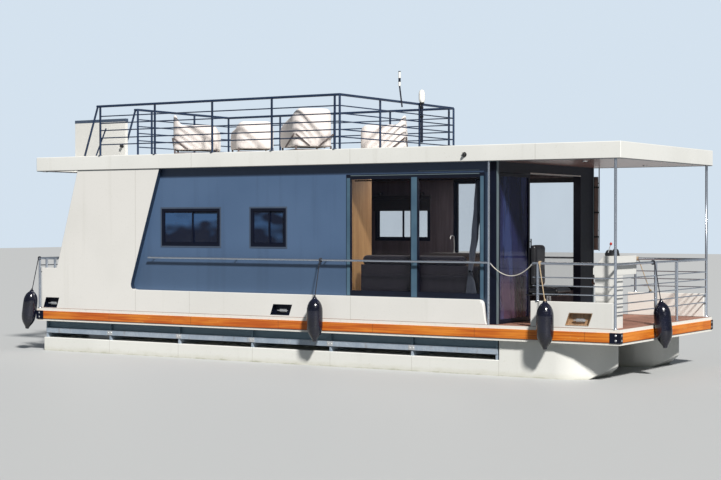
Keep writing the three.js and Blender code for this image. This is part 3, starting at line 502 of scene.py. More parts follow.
roofPanels = (
    # middle and half length along X, then across
    (-2.90, 0.72, 0.42, 1.16), (-1.25, 0.81, 0.0, 1.58), (0.17, 0.52, 0.0, 1.58), (1.90, 0.98, 0.0, 1.54),
    (3.98, 0.98, 0.0, 1.54),
)
pontoonSeams = (-3.61, -2.23, -0.83, 0.55, 1.91, 3.27)
fairingSeams = (-3.01, -1.95, 0.95)
fasciaSeams = (-1.9, 0.95, 3.855)
finishes = {
    "pontoon": whiteHull("pontoon_gelcoat", tone(240, 240, 234), pontoonSeams, stained=True),
    "fairing": whiteHull("fairing_gelcoat", tone(238, 236, 231), fairingSeams, shadedRake=True),
    "roof": roofSkin("roof_gelcoat", tone(242, 242, 237), fasciaSeams, tone(172, 142, 136)),
    "white": whiteHull("plain_gelcoat", tone(232, 231, 226)),
    "slate": slateWall("slate_wall"),
    "pine": pineRail("pine_rail"),
    "deck": deckBoards("deck_boards"),
    "zinc": zincFrame("zinc_frame"),
    "navy": paintedMetal("navy_tube", tone(30, 48, 76), tone(54, 74, 104), 0.38, 0.2),
    "steel": brushedSteel("steel_tube", tone(186, 194, 206), 0.24, 0.85),
    "bright": brushedSteel("bright_steel", tone(214, 216, 218), 0.2, 0.6),
    "dark": paintedMetal("dark_frame", tone(11, 16, 32), tone(20, 27, 48), 0.45, 0.0, 0.2),
    "glazingBars": glazingBars("glazing_bars"),
    "flangeBlue": paintedMetal("window_flange", tone(74, 88, 108), tone(92, 104, 122), 0.42, 0.2),
    "grey": paintedMetal("grey_profile", tone(112, 128, 134), tone(90, 104, 110), 0.4, 0.3),
    "glass": tintedGlass("saloon_glass", tone(20, 28, 44), 0.93),
    "doorGlass": doorPane("door_glass"),
    "smallGlass": smallPane("small_window_glass"),
    "cabinet": veneer("cabinet_wood", tone(96, 86, 82), tone(66, 58, 58)),
    "sofa": wovenCloth("sofa_cloth", tone(46, 44, 62), tone(28, 27, 40)),
    "panel": veneer("sofa_panel", tone(58, 52, 66), tone(42, 38, 50)),
    "curtain": wovenCloth("curtain_cloth", tone(116, 124, 142), tone(86, 94, 112), 0.003),
    "seat": mouldedVinyl("seat_vinyl", tone(15, 15, 20), tone(30, 30, 37), 0.42, 260.0),
    "fender": mouldedVinyl("fender_vinyl", tone(11, 13, 28), tone(27, 31, 56), 0.18, 900.0),
    "cowl": mouldedVinyl("cowl_plastic", tone(22, 24, 28), tone(58, 60, 66), 0.2, 600.0),
    "cast": paintedMetal("cast_metal", tone(70, 74, 80), tone(112, 116, 120), 0.5, 0.6),
    "cream": wovenCloth("chair_cloth", tone(236, 228, 224), tone(222, 211, 206), 0.006, 0.8),
    "frameBrown": paintedMetal("chair_frame", tone(112, 100, 98), tone(76, 68, 68), 0.45, 0.2),
    "shell": mouldedVinyl("radome_shell", tone(238, 238, 232), tone(212, 212, 204), 0.35, 500.0),
    "radome": domeShell("radome"),
    "antenna": antennaRod("antenna"),
    "black": mouldedVinyl("black_plastic", tone(14, 15, 18), tone(44, 46, 50), 0.35, 500.0),
    "rope": twistedRope("gate_rope", tone(222, 218, 206), tone(160, 152, 138)),
    "line": twistedRope("fender_line", tone(26, 28, 40), tone(10, 11, 18), 0.012),
    "tanLine": twistedRope("tan_line", tone(190, 168, 136), tone(128, 108, 84), 0.012),
    "blackCloth": wovenCloth("black_cloth", tone(20, 20, 26), tone(10, 10, 14), 0.003),
    "darkPane": mouldedVinyl("dark_pane", tone(16, 22, 34), tone(40, 52, 70), 0.06, 30.0),
    "joinery": joineryWood("joinery_wood"),
    "blind": wovenCloth("blind_cloth", tone(132, 118, 112), tone(96, 84, 82), 0.003),
    "red": mouldedVinyl("red_plastic", tone(176, 40, 30), tone(206, 92, 76), 0.35, 500.0),
    "gauge": mouldedVinyl("gauge_face", tone(28, 30, 34), tone(206, 208, 210), 0.2, 700.0),
    "pocket": veneer("pocket_liner", tone(176, 142, 108), tone(84, 64, 54)),
}
print("finishes made:", len(finishes))


def bothSides(name):
    return [f"{name}_{side}" for side in ("starboard", "port")]


# finish: the CAD nodes that wear it
dressing = {
    "pontoon": bothSides("pontoon"), "zinc": ["underframe"], "deck": ["deck"], "pine": ["rub_rail"],
    "fairing": bothSides("fairing"), "roof": ["roof"],
    "white": [*bothSides("fore_bulwark"), "stern_wall", "stern_door", "hatch_lid", "helm_console"],
    "slate": ["side_wall_starboard", "side_wall_port_aft", "side_wall_port_fore"],
    "glazingBars": bothSides("saloon_frame"), "glass": bothSides("saloon_glass"),
    "dark": ["front_wall", "door_fixed_frame", "door_middle_frame", "door_leading_frame"],
    "doorGlass": ["door_fixed_glass", "door_middle_glass", "door_leading_glass"],
    "joinery": ["joinery"], "sofa": ["sofa"], "seat": ["helm_seat"],
    "antenna": ["antenna"], "radome": ["radome"],
    "navy": [*bothSides("terrace_rail"), "terrace_rail_front", "terrace_rail_aft"],
    "steel": [*bothSides("fore_rail"), "bow_gate", "stern_rail", *bothSides("cabin_rail"), "stair"],
    "cowl": ["steering_wheel", "motor"], "cast": ["motor_clamp", "motor_swivel", "propeller"],
    "cream": [f"chair_{number}" for number in (1, 2, 3, 4)], "rope": ["gate_rope"],
    "fender": ["fender_starboard_mid", "fender_starboard_fore", "fender_port_mid", "fender_port_fore",
               "fender_bow", "fender_stern"],
}
finishOf = {nodeName: finishName for finishName, names in dressing.items() for nodeName in names}
for nodeName, finishName in finishOf.items():
    nodes[nodeName].material_slots[0].material = finishes[finishName].material
print("CAD nodes dressed:", len(finishOf))


# bmesh helpers
def eased(bm, made, soft, segments=2):  # bevels the edges of what was just made, and returns all its points
    before = set(bm.verts) - set(made)
    if soft:
        edges = list({edge for vert in made for edge in vert.link_edges})
        bmesh.ops.bevel(bm, geom=edges, offset=soft, segments=segments, profile=0.5, affect="EDGES",
                        material=-1)
    return [vert for vert in bm.verts if vert not in before]


def addBox(bm, corner, opposite, soft=0.0, segments=2):
    low, high = (Vector([pick(pair) for pair in zip(corner, opposite)]) for pick in (min, max))
    made = bmesh.ops.create_cube(bm, size=1.0)["verts"]
    bmesh.ops.scale(bm, vec=high - low, verts=made)
    bmesh.ops.translate(bm, vec=(low + high) / 2, verts=made)
    return eased(bm, made, soft, segments)


def around(x, y, reach, angle):  # a point on a circle
    return x + reach * math.cos(angle), y + reach * math.sin(angle)


def addRod(bm, start, end, radius, sides=12, tip=None):
    start, end = Vector(start), Vector(end)
    run = end - start
    turn = run.to_track_quat("Z", "Y").to_matrix().to_4x4()
    bmesh.ops.create_cone(bm, cap_ends=True, segments=sides, radius1=radius,
                          radius2=radius if tip is None else tip, depth=run.length,
                          matrix=Matrix.Translation((start + end) / 2) @ turn)


def addTurned(bm, profile, foot, up=(0, 0, 1), sides=24):  # radius and height, turned about an axis
    before = set(bm.verts)
    verts = [bm.verts.new((radius, 0, height)) for radius, height in profile]
    edges = [bm.edges.new(pair) for pair in zip(verts, verts[1:])]
    bmesh.ops.spin(bm, geom=verts + edges, cent=(0, 0, 0), axis=(0, 0, 1), angle=math.tau, steps=sides,
                   use_merge=True)
    made = [vert for vert in bm.verts if vert not in before]
    bmesh.ops.remove_doubles(bm, verts=made, dist=1e-6)
    made = [vert for vert in bm.verts if vert not in before]
    turn = Vector(up).to_track_quat("Z", "Y").to_matrix().to_4x4()
    bmesh.ops.transform(bm, matrix=Matrix.Translation(foot) @ turn, verts=made)


def addPlate(bm, outline, thickness, soft=0.0):  # a flat outline in space, drawn along its own normal
    before = set(bm.verts)
    face = bm.faces.new([bm.verts.new(point) for point in outline])
    bm.normal_update()
    drop = face.normal * thickness
    drawn = bmesh.ops.extrude_face_region(bm, geom=[face])["geom"]
    bmesh.ops.translate(bm, vec=drop, verts=[item for item in drawn if isinstance(item, bmesh.types.BMVert)])
    eased(bm, [vert for vert in bm.verts if vert not in before], soft)


def addBolt(bm, spot, out, radius=0.008, height=0.006):  # domed head on a washer
    washer = radius * 1.35
    profile = [(0, height), (radius * 0.55, height * 0.85), (radius * 0.9, height * 0.35), (radius, 0.001),
               (washer, 0.001), (washer, 0), (0, 0)]
    addTurned(bm, profile, spot, out, 10)


def addSkin(bm, rows, closed=True):  # faces between rows of points, each row a ring or an open line
    for first, second in zip(rows, rows[1:]):
        for k in range(len(first) if closed else len(first) - 1):
            after = (k + 1) % len(first)
            bm.faces.new((first[k], first[after], second[after], second[k]))


def addFrame(bm, x0, x1, z0, z1, y0, y1, width, soft=0.0):  # four bars round an upright opening
    across = (x0 + width - soft, x1 - width + soft)
    bars = ((x0, x0 + width, z0, z1), (x1 - width, x1, z0, z1), (*across, z0, z0 + width), (*across, z1 - width, z1))
    for start, end, foot, top in bars:
        addBox(bm, (start, y0, foot), (end, y1, top), soft)


def settle(piece, finish, body, replaces):  # gives a piece its finish, smooth faces and body, and hides the CAD nodes it replaces
    piece.data.materials.clear()
    piece.data.materials.append(finishes[finish].material)
    for polygon in piece.data.polygons:
        polygon.use_smooth = True
    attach(piece, body)
    if replaces:
        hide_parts(*replaces)


def place(name, bm, finish, body="boat", replaces=(), smooth=40, turnOut=True):
    if turnOut:
        bmesh.ops.recalc_face_normals(bm, faces=bm.faces)
    mesh = bpy.data.meshes.new(name)
    bm.to_mesh(mesh)
    bm.free()
    piece = linked(name, mesh)
    settle(piece, finish, body, replaces)
    mesh.set_sharp_from_angle(angle=math.radians(smooth))
    flatter = piece.modifiers.new("flatter", "WEIGHTED_NORMAL")
    flatter.keep_sharp = True
    return piece


def subdivided(piece, levels):
    finer = piece.modifiers.new("finer", "SUBSURF")
    finer.levels = levels
    finer.render_levels = levels


def thickened(piece, thickness):
    thick = piece.modifiers.new("thick", "SOLIDIFY")
    thick.thickness = thickness
    thick.offset = 0.0


def softened(node, soft=0.0, smooth=40):  # a merged copy of a CAD node, with eased edges
    bm = bmesh.new()
    bm.from_mesh(nodes[node].data)
    bmesh.ops.remove_doubles(bm, verts=bm.verts, dist=2e-5)
    bmesh.ops.dissolve_limit(bm, angle_limit=math.radians(1.5), verts=bm.verts, edges=bm.edges)
    if soft:
        sharp = [edge for edge in bm.edges if edge.is_manifold and edge.calc_face_angle(0) > math.radians(28)]
        bmesh.ops.bevel(bm, geom=sharp, offset=soft, segments=2, profile=0.5, affect="EDGES",
                        material=-1, clamp_overlap=True)
    place(f"{node}_form", bm, finishOf[node], nodes[node]["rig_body"], (node,), smooth, turnOut=False)


# rope across the side gate: a hanging cord between the roof post and the fore rail
gateRope = {
    "start": (3.1708, -1.662, 1.918),
    "end": (3.8052, -1.662, 1.922),
    "sag": 0.165,
    "diameter": 0.012,
    "points": 33,
    "thimble": [(0.0135, -0.002), (0.0155, 0), (0.0135, 0.002), (0.0115, 0), (0.0135, -0.002)],
    "splice": 0.0085,
}


def makeGateRope(r):
    start, end = Vector(r["start"]), Vector(r["end"])
    route = []
    for step in range(r["points"]):
        share = step / (r["points"] - 1)
        point = start.lerp(end, share)
        point.z -= 4 * r["sag"] * share * (1 - share)
        route.append(point)
    length = sum((b - a).length for a, b in zip(route, route[1:]))
    line = bpy.data.curves.new("gate_cord", "CURVE")
    line.dimensions = "3D"
    spline = line.splines.new("POLY")
    spline.points.add(len(route) - 1)
    for point, spot in zip(spline.points, route):
        point.co = (*spot, 1.0)
    line.bevel_depth = r["diameter"] / 2
    line.bevel_resolution = 4
    line.use_fill_caps = True
    line.materials.append(finishes["rope"].material)
    cord = linked("gate_cord", line)

    bm = bmesh.new()  # a spliced thimble and ring at each end
    for spot, way in ((start, -1), (end, 1)):
        addTurned(bm, r["thimble"], spot + Vector((way * 0.004, 0, -0.006)), (0, 1, 0), 16)
        addRod(bm, spot - Vector((way * 0.002, 0, 0)), spot - Vector((way * 0.03, 0, 0.024)), r["splice"], 10)
    ends = place("gate_cord_ends", bm, "bright")
    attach(cord, "boat")
    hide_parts("gate_rope")
    print("gate rope made, metres:", round(length, 3))


makeGateRope(gateRope)

# fenders: a turned vinyl body with a neck at each end, and a knotted line up to its rail
fender = {
    "profile": [(0, 0.002), (0.022, 0.003), (0.030, 0.010), (0.032, 0.026), (0.042, 0.044), (0.064, 0.076),
                (0.086, 0.112), (0.103, 0.154), (0.112, 0.198), (0.115, 0.240), (0.115, 0.440), (0.112, 0.482),
                (0.102, 0.526), (0.084, 0.566), (0.060, 0.596), (0.040, 0.612), (0.032, 0.622), (0.028, 0.636),
                (0.020, 0.640), (0, 0.641)],
    "mouldingRings": (0.236, 0.444),
    "eye": 0.630,
    "knot": ((0.012, 0.019), (0.028, 0.014)),  # heights over the eye, sizes
    "lineRadius": 0.007,
    "railRadius": 0.018,
    "turnsAt": (-0.008, 0.008),  # two turns round the rail
    "inward": {"starboard": (0, 1, 0), "port": (0, -1, 0), "bow": (-1, 0, 0), "stern": (1, 0, 0)},
    # foot of the body, its lean forward in degrees, upper end of its line, the way its rail runs, its line
    "places": {
        "starboard_mid": ((0.430, -1.8153, 0.760), 0, (0.430, -1.6846, 1.928), (1, 0, 0), "line"),
        "starboard_fore": ((4.060, -1.8153, 0.800), 0, (3.915, -1.6876, 1.928), (1, 0, 0), "tanLine"),
        "port_mid": ((0.430, 1.8153, 0.760), 0, (0.430, 1.6846, 1.928), (1, 0, 0), "line"),
        "port_fore": ((4.060, 1.8153, 0.800), 0, (3.915, 1.6876, 1.928), (1, 0, 0), "tanLine"),
        "bow": ((5.2135, -0.510, 0.783), -6, (5.0106, -0.390, 1.928), (0, 1, 0), "line"),
        "stern": ((-5.2243, -1.7574, 0.746), 10, (-5.0556, -1.668, 1.890), (0, 1, 0), "line"),
    },
}


def makeFender(name, foot, lean, end, railWay, lineFinish, f):
    angle = math.radians(lean)
    up = Vector((math.sin(angle), 0, math.cos(angle)))
    bm = bmesh.new()
    addTurned(bm, f["profile"], foot, up, 36)
    for height in f["mouldingRings"]:
        addTurned(bm, [(0.1145, height - 0.003), (0.1152, height), (0.1145, height + 0.003), (0.112, height),
                       (0.1145, height - 0.003)], foot, up, 36)
    place(f"fender_{name}_body", bm, "fender", replaces=(f"fender_{name}",))

    bm = bmesh.new()
    eye, end, ring = Vector(foot) + up * f["eye"], Vector(end), f["lineRadius"]
    addRod(bm, eye - up * 0.012, end, ring, 10)
    for above, size in f["knot"]:
        slant = size * 0.7
        ball = [(0, -size), (slant, -slant), (size, 0), (slant, slant), (0, size)]
        addTurned(bm, ball, eye + up * above, end - eye, 12)
    inward = Vector(f["inward"][name.split("_")[0]])
    reach = f["railRadius"] + ring + 0.0006
    loop = [around(reach, 0, ring, math.tau * k / 8) for k in range(9)]
    for shift in f["turnsAt"]:
        addTurned(bm, loop, end + inward * reach + Vector(railWay) * shift, railWay, 20)
    place(f"fender_{name}_line", bm, lineFinish)


for fenderName, row in fender["places"].items():
    makeFender(fenderName, *row, fender)
print("fenders made:", len(fender["places"]))

# small sliding windows in the cabin walls
smallWindow = {
    "frameWidth": 0.042,
    "flangeReach": 0.022,
    "flangeWidth": 0.048,
    "proud": 0.006,
    "stile": 0.022,
    "stileDepth": 0.007,
    "tracks": (1.585, 1.568),
    "wallOuter": 1.595,
    "wallInner": 1.545,
    "paneInset": 0.012,
    "paneHalf": 0.003,
    "latchHalf": (0.006, 0.004, 0.03),
    # side, aft edge, fore edge, lower edge, upper edge, where the panes meet, their glass
    "openings": {
        "aft_starboard": (-1, -2.550, -1.430, 2.109, 2.680, 0.53, "smallGlass"),
        "mid_starboard": (-1, -0.860, -0.220, 2.109, 2.680, 0.52, "smallGlass"),
        "aft_port": (1, -2.550, -1.430, 2.109, 2.680, 0.50, "smallGlass"),
        "galley_port": (1, -0.630, 0.410, 2.170, 2.870, 0.50, "glass"),
    },
}


def makeSmallWindow(name, side, x0, x1, z0, z1, meet, glass, w):
    outer, inner = side * w["wallOuter"], side * w["wallInner"]
    width, stile, reach = w["frameWidth"], w["stile"], w["flangeReach"]
    inset, half = w["paneInset"], w["paneHalf"]
    middle = x0 + (x1 - x0) * meet
    tracks = [side * track for track in w["tracks"]]
    panes = ((x0 + width, middle + stile / 2, tracks[0]), (middle - stile / 2, x1 - width, tracks[1]))
    bm = bmesh.new()
    addFrame(bm, x0 + 0.001, x1 - 0.001, z0 + 0.001, z1 - 0.001, inner - side * 0.004,
             outer + side * w["proud"], width, 0.003)
    for a, b, y in panes:
        addFrame(bm, a, b, z0 + width, z1 - width, y - w["stileDepth"], y + w["stileDepth"], stile, 0.002)
    latch = Vector((middle, tracks[0] + side * 0.009, (z0 + z1) / 2))
    addBox(bm, latch - Vector(w["latchHalf"]), latch + Vector(w["latchHalf"]), 0.002)
    place(f"window_{name}_frame", bm, "dark")
    bm = bmesh.new()
    addFrame(bm, x0 - reach, x1 + reach, z0 - reach, z1 + reach, outer + side * 0.0004,
             outer + side * w["proud"] * 0.7, w["flangeWidth"], 0.002)
    place(f"window_{name}_flange", bm, "flangeBlue")
    bm = bmesh.new()
    for a, b, y in panes:
        addBox(bm, (a + inset, y - half, z0 + width + inset), (b - inset, y + half, z1 - width - inset))
    place(f"window_{name}_glass", bm, glass)


for windowName, row in smallWindow["openings"].items():
    makeSmallWindow(windowName, *row, smallWindow)
print("small windows made:", len(smallWindow["openings"]))

# recessed cleats in the fairings, fore bulwarks and their liners
cleat = {
    # aft end, length, lower edge, height, liner finish
    "pockets": [
        (-4.930, 0.330, 1.105, 0.155, "dark"),
        (-0.440, 0.380, 1.120, 0.150, "dark"),
        (4.290, 0.380, 1.125, 0.160, "pocket"),
    ],
    "lean": 0.35,
    "mouth": 1.680,
    "back": 1.6205,
    "skin": 0.0015,
    "lip": 0.004,
    "corner": 0.02,
    "hornLength": 0.19,
    "hornRadius": 0.011,
    "hornHeight": 0.42,  # share of the pocket's height
    "feet": (-0.035, 0.035),
    "base": (0.062, 0.005, 0.022),
    "bolts": (-0.05, 0.05),
}


def makeCleat(name, side, aft, length, low, height, liner, c):
    lean = height * c["lean"]
    top, fore = low + height, aft + length
    corners = [Vector((x, 0, z)) for x, z in ((aft, low), (fore - lean, low), (fore, top), (aft + lean, top))]
    middle = sum(corners, Vector()) / 4
    inward = [(middle - corner).normalized() for corner in corners]

    bm = bmesh.new()
    rings = []
    for y, inset in ((c["mouth"] + 0.001, -c["lip"]), (c["mouth"] + 0.001, 0.002), (c["back"], 0.002)):
        rings.append([bm.verts.new(corner + way * inset + Vector((0, side * y, 0)))
                      for corner, way in zip(corners, inward)])
    addSkin(bm, rings)
    bm.faces.new(rings[-1])
    upright = [edge for edge in bm.edges if abs(edge.verts[0].co.y - edge.verts[1].co.y) > 0.03]
    bmesh.ops.bevel(bm, geom=upright, offset=c["corner"], segments=4, profile=0.5, affect="EDGES",
                    material=-1, clamp_overlap=True)
    bmesh.ops.solidify(bm, geom=bm.faces[:], thickness=-c["skin"])
    place(f"pocket_{name}", bm, liner)

    bm = bmesh.new()
    reach, back = (c["back"] + c["mouth"]) / 2 - 0.004, side * c["back"]
    x, z = middle.x, low + height * c["hornHeight"]
    half, radius = c["hornLength"] / 2, c["hornRadius"]
    profile = [(0, -half), (radius * 0.55, -half + 0.004), (radius * 0.8, -half * 0.6), (radius, -half * 0.2)]
    addTurned(bm, profile + [(r, -h) for r, h in reversed(profile)], (x, side * reach, z), (1, 0, 0), 14)
    for shift in c["feet"]:
        addRod(bm, (x + shift, back, z), (x + shift, side * reach, z), 0.012, 12, 0.009)
    halfX, thick, halfZ = c["base"]
    addBox(bm, (x - halfX, back, z - halfZ), (x + halfX, back + side * thick, z + halfZ), 0.002)
    for shift in c["bolts"]:
        addBolt(bm, (x + shift, back + side * thick, z), (0, side, 0), 0.005, 0.003)
    place(f"cleat_{name}", bm, "bright")


for sideName, side in (("starboard", -1), ("port", 1)):
    for number, row in enumerate(cleat["pockets"], 1):
        makeCleat(f"{sideName}_{number}", side, *row, cleat)
print("cleats made:", 2 * len(cleat["pockets"]))

# dark corner brackets on the wooden rub rail, bolted through
bracket = {
    "corner": (5.070, 1.700),
    "low": 0.912,
    "high": 1.048,
    "thick": 0.0035,
    "sideReach": 0.150,
    "endReach": 0.075,
    "boltHeights": (0.948, 1.014),
    "boltsIn": (0.062, 0.045),  # how far from the corner, on the side and on the end
    "boltRadius": 0.011,
}


def makeCornerBracket(name, alongSign, acrossSign, b):
    x, y = b["corner"][0] * alongSign, b["corner"][1] * acrossSign
    outerX, outerY = x + b["thick"] * alongSign, y + b["thick"] * acrossSign
    sideEnd, endEnd = x - b["sideReach"] * alongSign, y - b["endReach"] * acrossSign
    outline = [(sideEnd, y), (x, y), (x, endEnd), (outerX, endEnd), (outerX, outerY), (sideEnd, outerY)]
    if alongSign * acrossSign < 0:
        outline.reverse()
    bm = bmesh.new()
    addPlate(bm, [(a, c, b["low"]) for a, c in outline], b["high"] - b["low"], 0.0012)
    place(f"corner_bracket_{name}", bm, "dark")
    bm = bmesh.new()
    for height in b["boltHeights"]:
        addBolt(bm, (x - b["boltsIn"][0] * alongSign, outerY, height), (0, acrossSign, 0), b["boltRadius"])
        addBolt(bm, (outerX, y - b["boltsIn"][1] * acrossSign, height), (alongSign, 0, 0), b["boltRadius"])
    place(f"corner_bolts_{name}", bm, "bright")


for endName, alongSign in (("bow", 1), ("stern", -1)):
    for sideName, acrossSign in (("starboard", -1), ("port", 1)):
        makeCornerBracket(f"{endName}_{sideName}", alongSign, acrossSign, bracket)

# joint plates with two bolts each on the side beams under the deck
underDeck = {
    "webStations": (-3.600, -2.220, -0.840, 0.550, 1.910),
    "halfLength": 0.05,
    "low": 0.694,
    "high": 0.761,
    "thick": 0.004,
    "bolts": (-0.026, 0.026),
    "boltHeight": 0.728,
}


def makeUnderDeck(u):
    outerFace = max(abs(corner[1]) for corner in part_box("underframe"))
    bm = bmesh.new()
    for side in (-1, 1):
        inner, outer = side * outerFace, side * (outerFace + u["thick"])
        for station in u["webStations"]:
            addBox(bm, (station - u["halfLength"], inner, u["low"]),
                   (station + u["halfLength"], outer, u["high"]), 0.001)
            for shift in u["bolts"]:
                addBolt(bm, (station + shift, outer, u["boltHeight"]), (0, side, 0), 0.010, 0.008)
    place("beam_joints", bm, "bright")


makeUnderDeck(underDeck)
print("brackets and beam joints made")

# running lights on the roof's edges, round lamps under its stern and over the foredeck
lamp = {
    "side": (2.797, 1.695, 3.389),
    "sideBase": [(0, 0.001), (0.034, 0.001), (0.034, 0.006), (0.028, 0.010), (0.028, 0.018), (0, 0.019)],
    "sideLens": [(0, 0.0), (0.017, 0.0), (0.020, 0.010), (0.020, 0.024), (0.014, 0.034), (0, 0.037)],
    "hood": (0.024, 0.030, 0.005),
    # spot and radius
    "down": {
        "stern_lamp": ((-5.000, -1.560, 3.2945), 0.045),
        "foredeck_lamp_1": ((4.28, -1.05, 3.2945), 0.035),
        "foredeck_lamp_2": ((4.28, 1.05, 3.2945), 0.035),
    },
}


def makeSideLamp(name, side, l):
    x, y, z = l["side"]
    y *= side
    halfX, reach, thick = l["hood"]
    bm = bmesh.new()
    addTurned(bm, l["sideBase"], (x, y, z), (0, side, 0), 20)
    addTurned(bm, l["sideLens"], (x, y + side * 0.017, z + 0.002), (0.35, side, 0), 20)
    addBox(bm, (x - halfX, y, z + 0.021), (x + halfX, y + side * reach, z + 0.021 + thick), 0.002)
    place(f"side_lamp_{name}", bm, "black")


def makeDownLamp(name, spot, radius):
    rim = [(0, -0.012), (0.72, -0.012), (0.78, -0.006), (0.95, -0.010), (1, -0.004), (1, 0.0), (0, 0.0)]
    bm = bmesh.new()
    addTurned(bm, [(radius * share, height) for share, height in rim], spot, (0, 0, 1), 24)
    place(name, bm, "bright")


makeSideLamp("starboard", -1, lamp)
makeSideLamp("port", 1, lamp)
for lampName, row in lamp["down"].items():
    makeDownLamp(lampName, *row)
print("lamps made")

# drip edge under the roof
dripEdge = {
    "halfLength": 5.058,
    "halfBeam": 1.683,
    "low": 3.2905,
    "high": 3.2947,
    "width": 0.006,
}


def makeDripEdge(d):
    bm = bmesh.new()
    x, y, w, low, high = d["halfLength"], d["halfBeam"], d["width"], d["low"], d["high"]
    for side in (-1, 1):
        addBox(bm, (-x, side * y - w, low), (x, side * y + w, high), 0.001)
        addBox(bm, (side * x - w, -y, low), (side * x + w, y, high), 0.001)
    place("drip_edge", bm, "grey")


makeDripEdge(dripEdge)

# hatch lid: trim along its top, and a knob
hatchTrim = {
    "low": (-4.936, -0.9306, 4.098),
    "high": (-3.844, -0.862, 4.150),
    "knob": (-3.905, -0.930, 3.702),
    "knobProfile": [(0, 0.001), (0.024, 0.001), (0.026, 0.004), (0.012, 0.008), (0.011, 0.022), (0.022, 0.032),
                    (0.027, 0.042), (0.022, 0.052), (0, 0.056)],
}


def makeHatchTrim(h):
    bm = bmesh.new()
    addBox(bm, h["low"], h["high"], 0.003)
    place("hatch_trim", bm, "flangeBlue", "hatch_lid")
    bm = bmesh.new()
    addTurned(bm, h["knobProfile"], h["knob"], (0, -1, 0), 22)
    place("hatch_knob", bm, "black", "hatch_lid")


makeHatchTrim(hatchTrim)

# round flanges with bolts under the rail posts
flange = {
    "thick": 0.005,
    "bolts": 3,
    # finish, height, radius of the post, radius of the flange, places
    "sets": {
        "terrace": ("navy", 3.5173, 0.017, 0.036,
                    [(x, side * 1.672) for side in (-1, 1) for x in (-3.726, -2.623, -1.516, -0.421, 0.680)]
                    + [(0.765, -0.571), (0.765, 0.587)]),
        "deck": ("steel", 1.0902, 0.020, 0.036,
                 [(4.985, y) for y in (-1.662, 1.662, -0.32, 0.51)]
                 + [(-5.030, y) for y in (-1.662, -0.520, 0.520, 1.662)]),
        "bulwark": ("steel", 1.4302, 0.020, 0.034, [(3.880, -1.662), (3.880, 1.662)]),
    },
}


def makeFlanges(name, finish, foot, tube, radius, spots, f):
    thick, neck = f["thick"], tube + 0.0004
    profile = [(neck, 0.0003), (radius, 0.0003), (radius, thick * 0.7), (radius * 0.94, thick),
               (tube + 0.004, thick), (tube + 0.0015, thick * 2.2), (neck, thick * 2.2), (neck, 0.0003)]
    reach = (tube + radius) / 2 + 0.002
    bm = bmesh.new()
    for x, y in spots:
        addTurned(bm, profile, (x, y, foot), (0, 0, 1), 24)
        for k in range(f["bolts"]):
            angle = math.tau * k / f["bolts"] + 0.4
            addBolt(bm, (*around(x, y, reach, angle), foot + thick), (0, 0, 1), 0.0035, 0.003)
    place(f"{name}_flanges", bm, finish, smooth=35)


for setName, row in flange["sets"].items():
    makeFlanges(setName, *row, flange)
print("flanges made")

# window trims: light strips over the saloon glazing, the door's head strip and its side profiles
trim = {
    # from, to, face, height, thickness
    "strips": [
        (0.905, 2.975, 1.601, 3.128, 0.011),
        (2.010, 2.975, 1.5952, 3.178, 0.010),
    ],
    "stripDepth": 0.004,
    "headStrip": [((3.2302, -0.565, 3.150), (3.2352, 1.120, 3.166))],
    "sideProfiles": [
        # lower corner, upper corner
        ((3.2302, -1.592, 1.0906), (3.240, -1.538, 3.293)),
        ((3.2302, 1.560, 1.0906), (3.238, 1.592, 3.293)),
    ],
}


def makeTrims(t):
    strips = [((x0, side * face, z), (x1, side * (face + t["stripDepth"]), z + thick))
              for side in (-1, 1) for x0, x1, face, z, thick in t["strips"]]
    for name, boxes, soft, finish in (("glazing_strips", strips, 0.0015, "grey"),
                                      ("door_head_strip", t["headStrip"], 0.0015, "shell"),
                                      ("door_side_profiles", t["sideProfiles"], 0.002, "grey")):
        bm = bmesh.new()
        for corners in boxes:
            addBox(bm, *corners, soft)
        place(name, bm, finish)


makeTrims(trim)

# door handle: an upright bar on two stand-offs, outside only
doorHandle = {
    "leaf": "door_leading_frame",
    "station": -0.602,
    "middle": 2.08,
    "halfLength": 0.16,
    "stands": (-0.12, 0.12),
    "standLength": 0.034,
    "radius": 0.009,
    "rose": [(0, 0.0), (0.013, 0.0), (0.013, 0.003), (0, 0.0035)],
}


def makeDoorHandle(d):
    y, middle, half = d["station"], d["middle"], d["halfLength"]
    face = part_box(d["leaf"])[1][0]
    x = face + d["standLength"]
    bm = bmesh.new()
    addRod(bm, (x, y, middle - half), (x, y, middle + half), d["radius"], 16)
    for shift in d["stands"]:
        addRod(bm, (face, y, middle + shift), (x, y, middle + shift), 0.006, 12)
        addTurned(bm, d["rose"], (face, y, middle + shift), (1, 0, 0), 16)
    place("door_handle", bm, "black", nodes[d["leaf"]]["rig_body"])


makeDoorHandle(doorHandle)
print("trims and handle made")

# stair: ribbed grips on the treads
stairGrip = {
    "foot": (-4.830, 1.0903),
    "head": (-4.010, 3.467),
    "depth": 0.118,
    "steps": 9,
    "across": (-1.470, -1.005),
    "overhang": 0.014,
    "ribs": 5,
    "ribPitch": 0.022,
    "ribWidth": 0.008,
}


def makeStairGrips(s):
    (footX, footZ), (headX, headZ) = s["foot"], s["head"]
    y0, y1 = s["across"]
    slope = (headX - footX) / (headZ - footZ)
    rise = (headZ - footZ) / (s["steps"] + 0.4)
    bm = bmesh.new()
    for step in range(1, s["steps"] + 1):
        z = footZ + rise * step
        x = footX + slope * (z - footZ)
        addBox(bm, (x - s["overhang"], y0, z + 0.0003), (x + s["depth"] - s["overhang"], y1, z + 0.0035), 0.001)
        for rib in range(s["ribs"]):
            ridge = x - 0.004 + rib * s["ribPitch"]
            addBox(bm, (ridge, y0 + 0.012, z + 0.003), (ridge + s["ribWidth"], y1 - 0.012, z + 0.006), 0.001)
    place("stair_grips", bm, "black")


makeStairGrips(stairGrip)

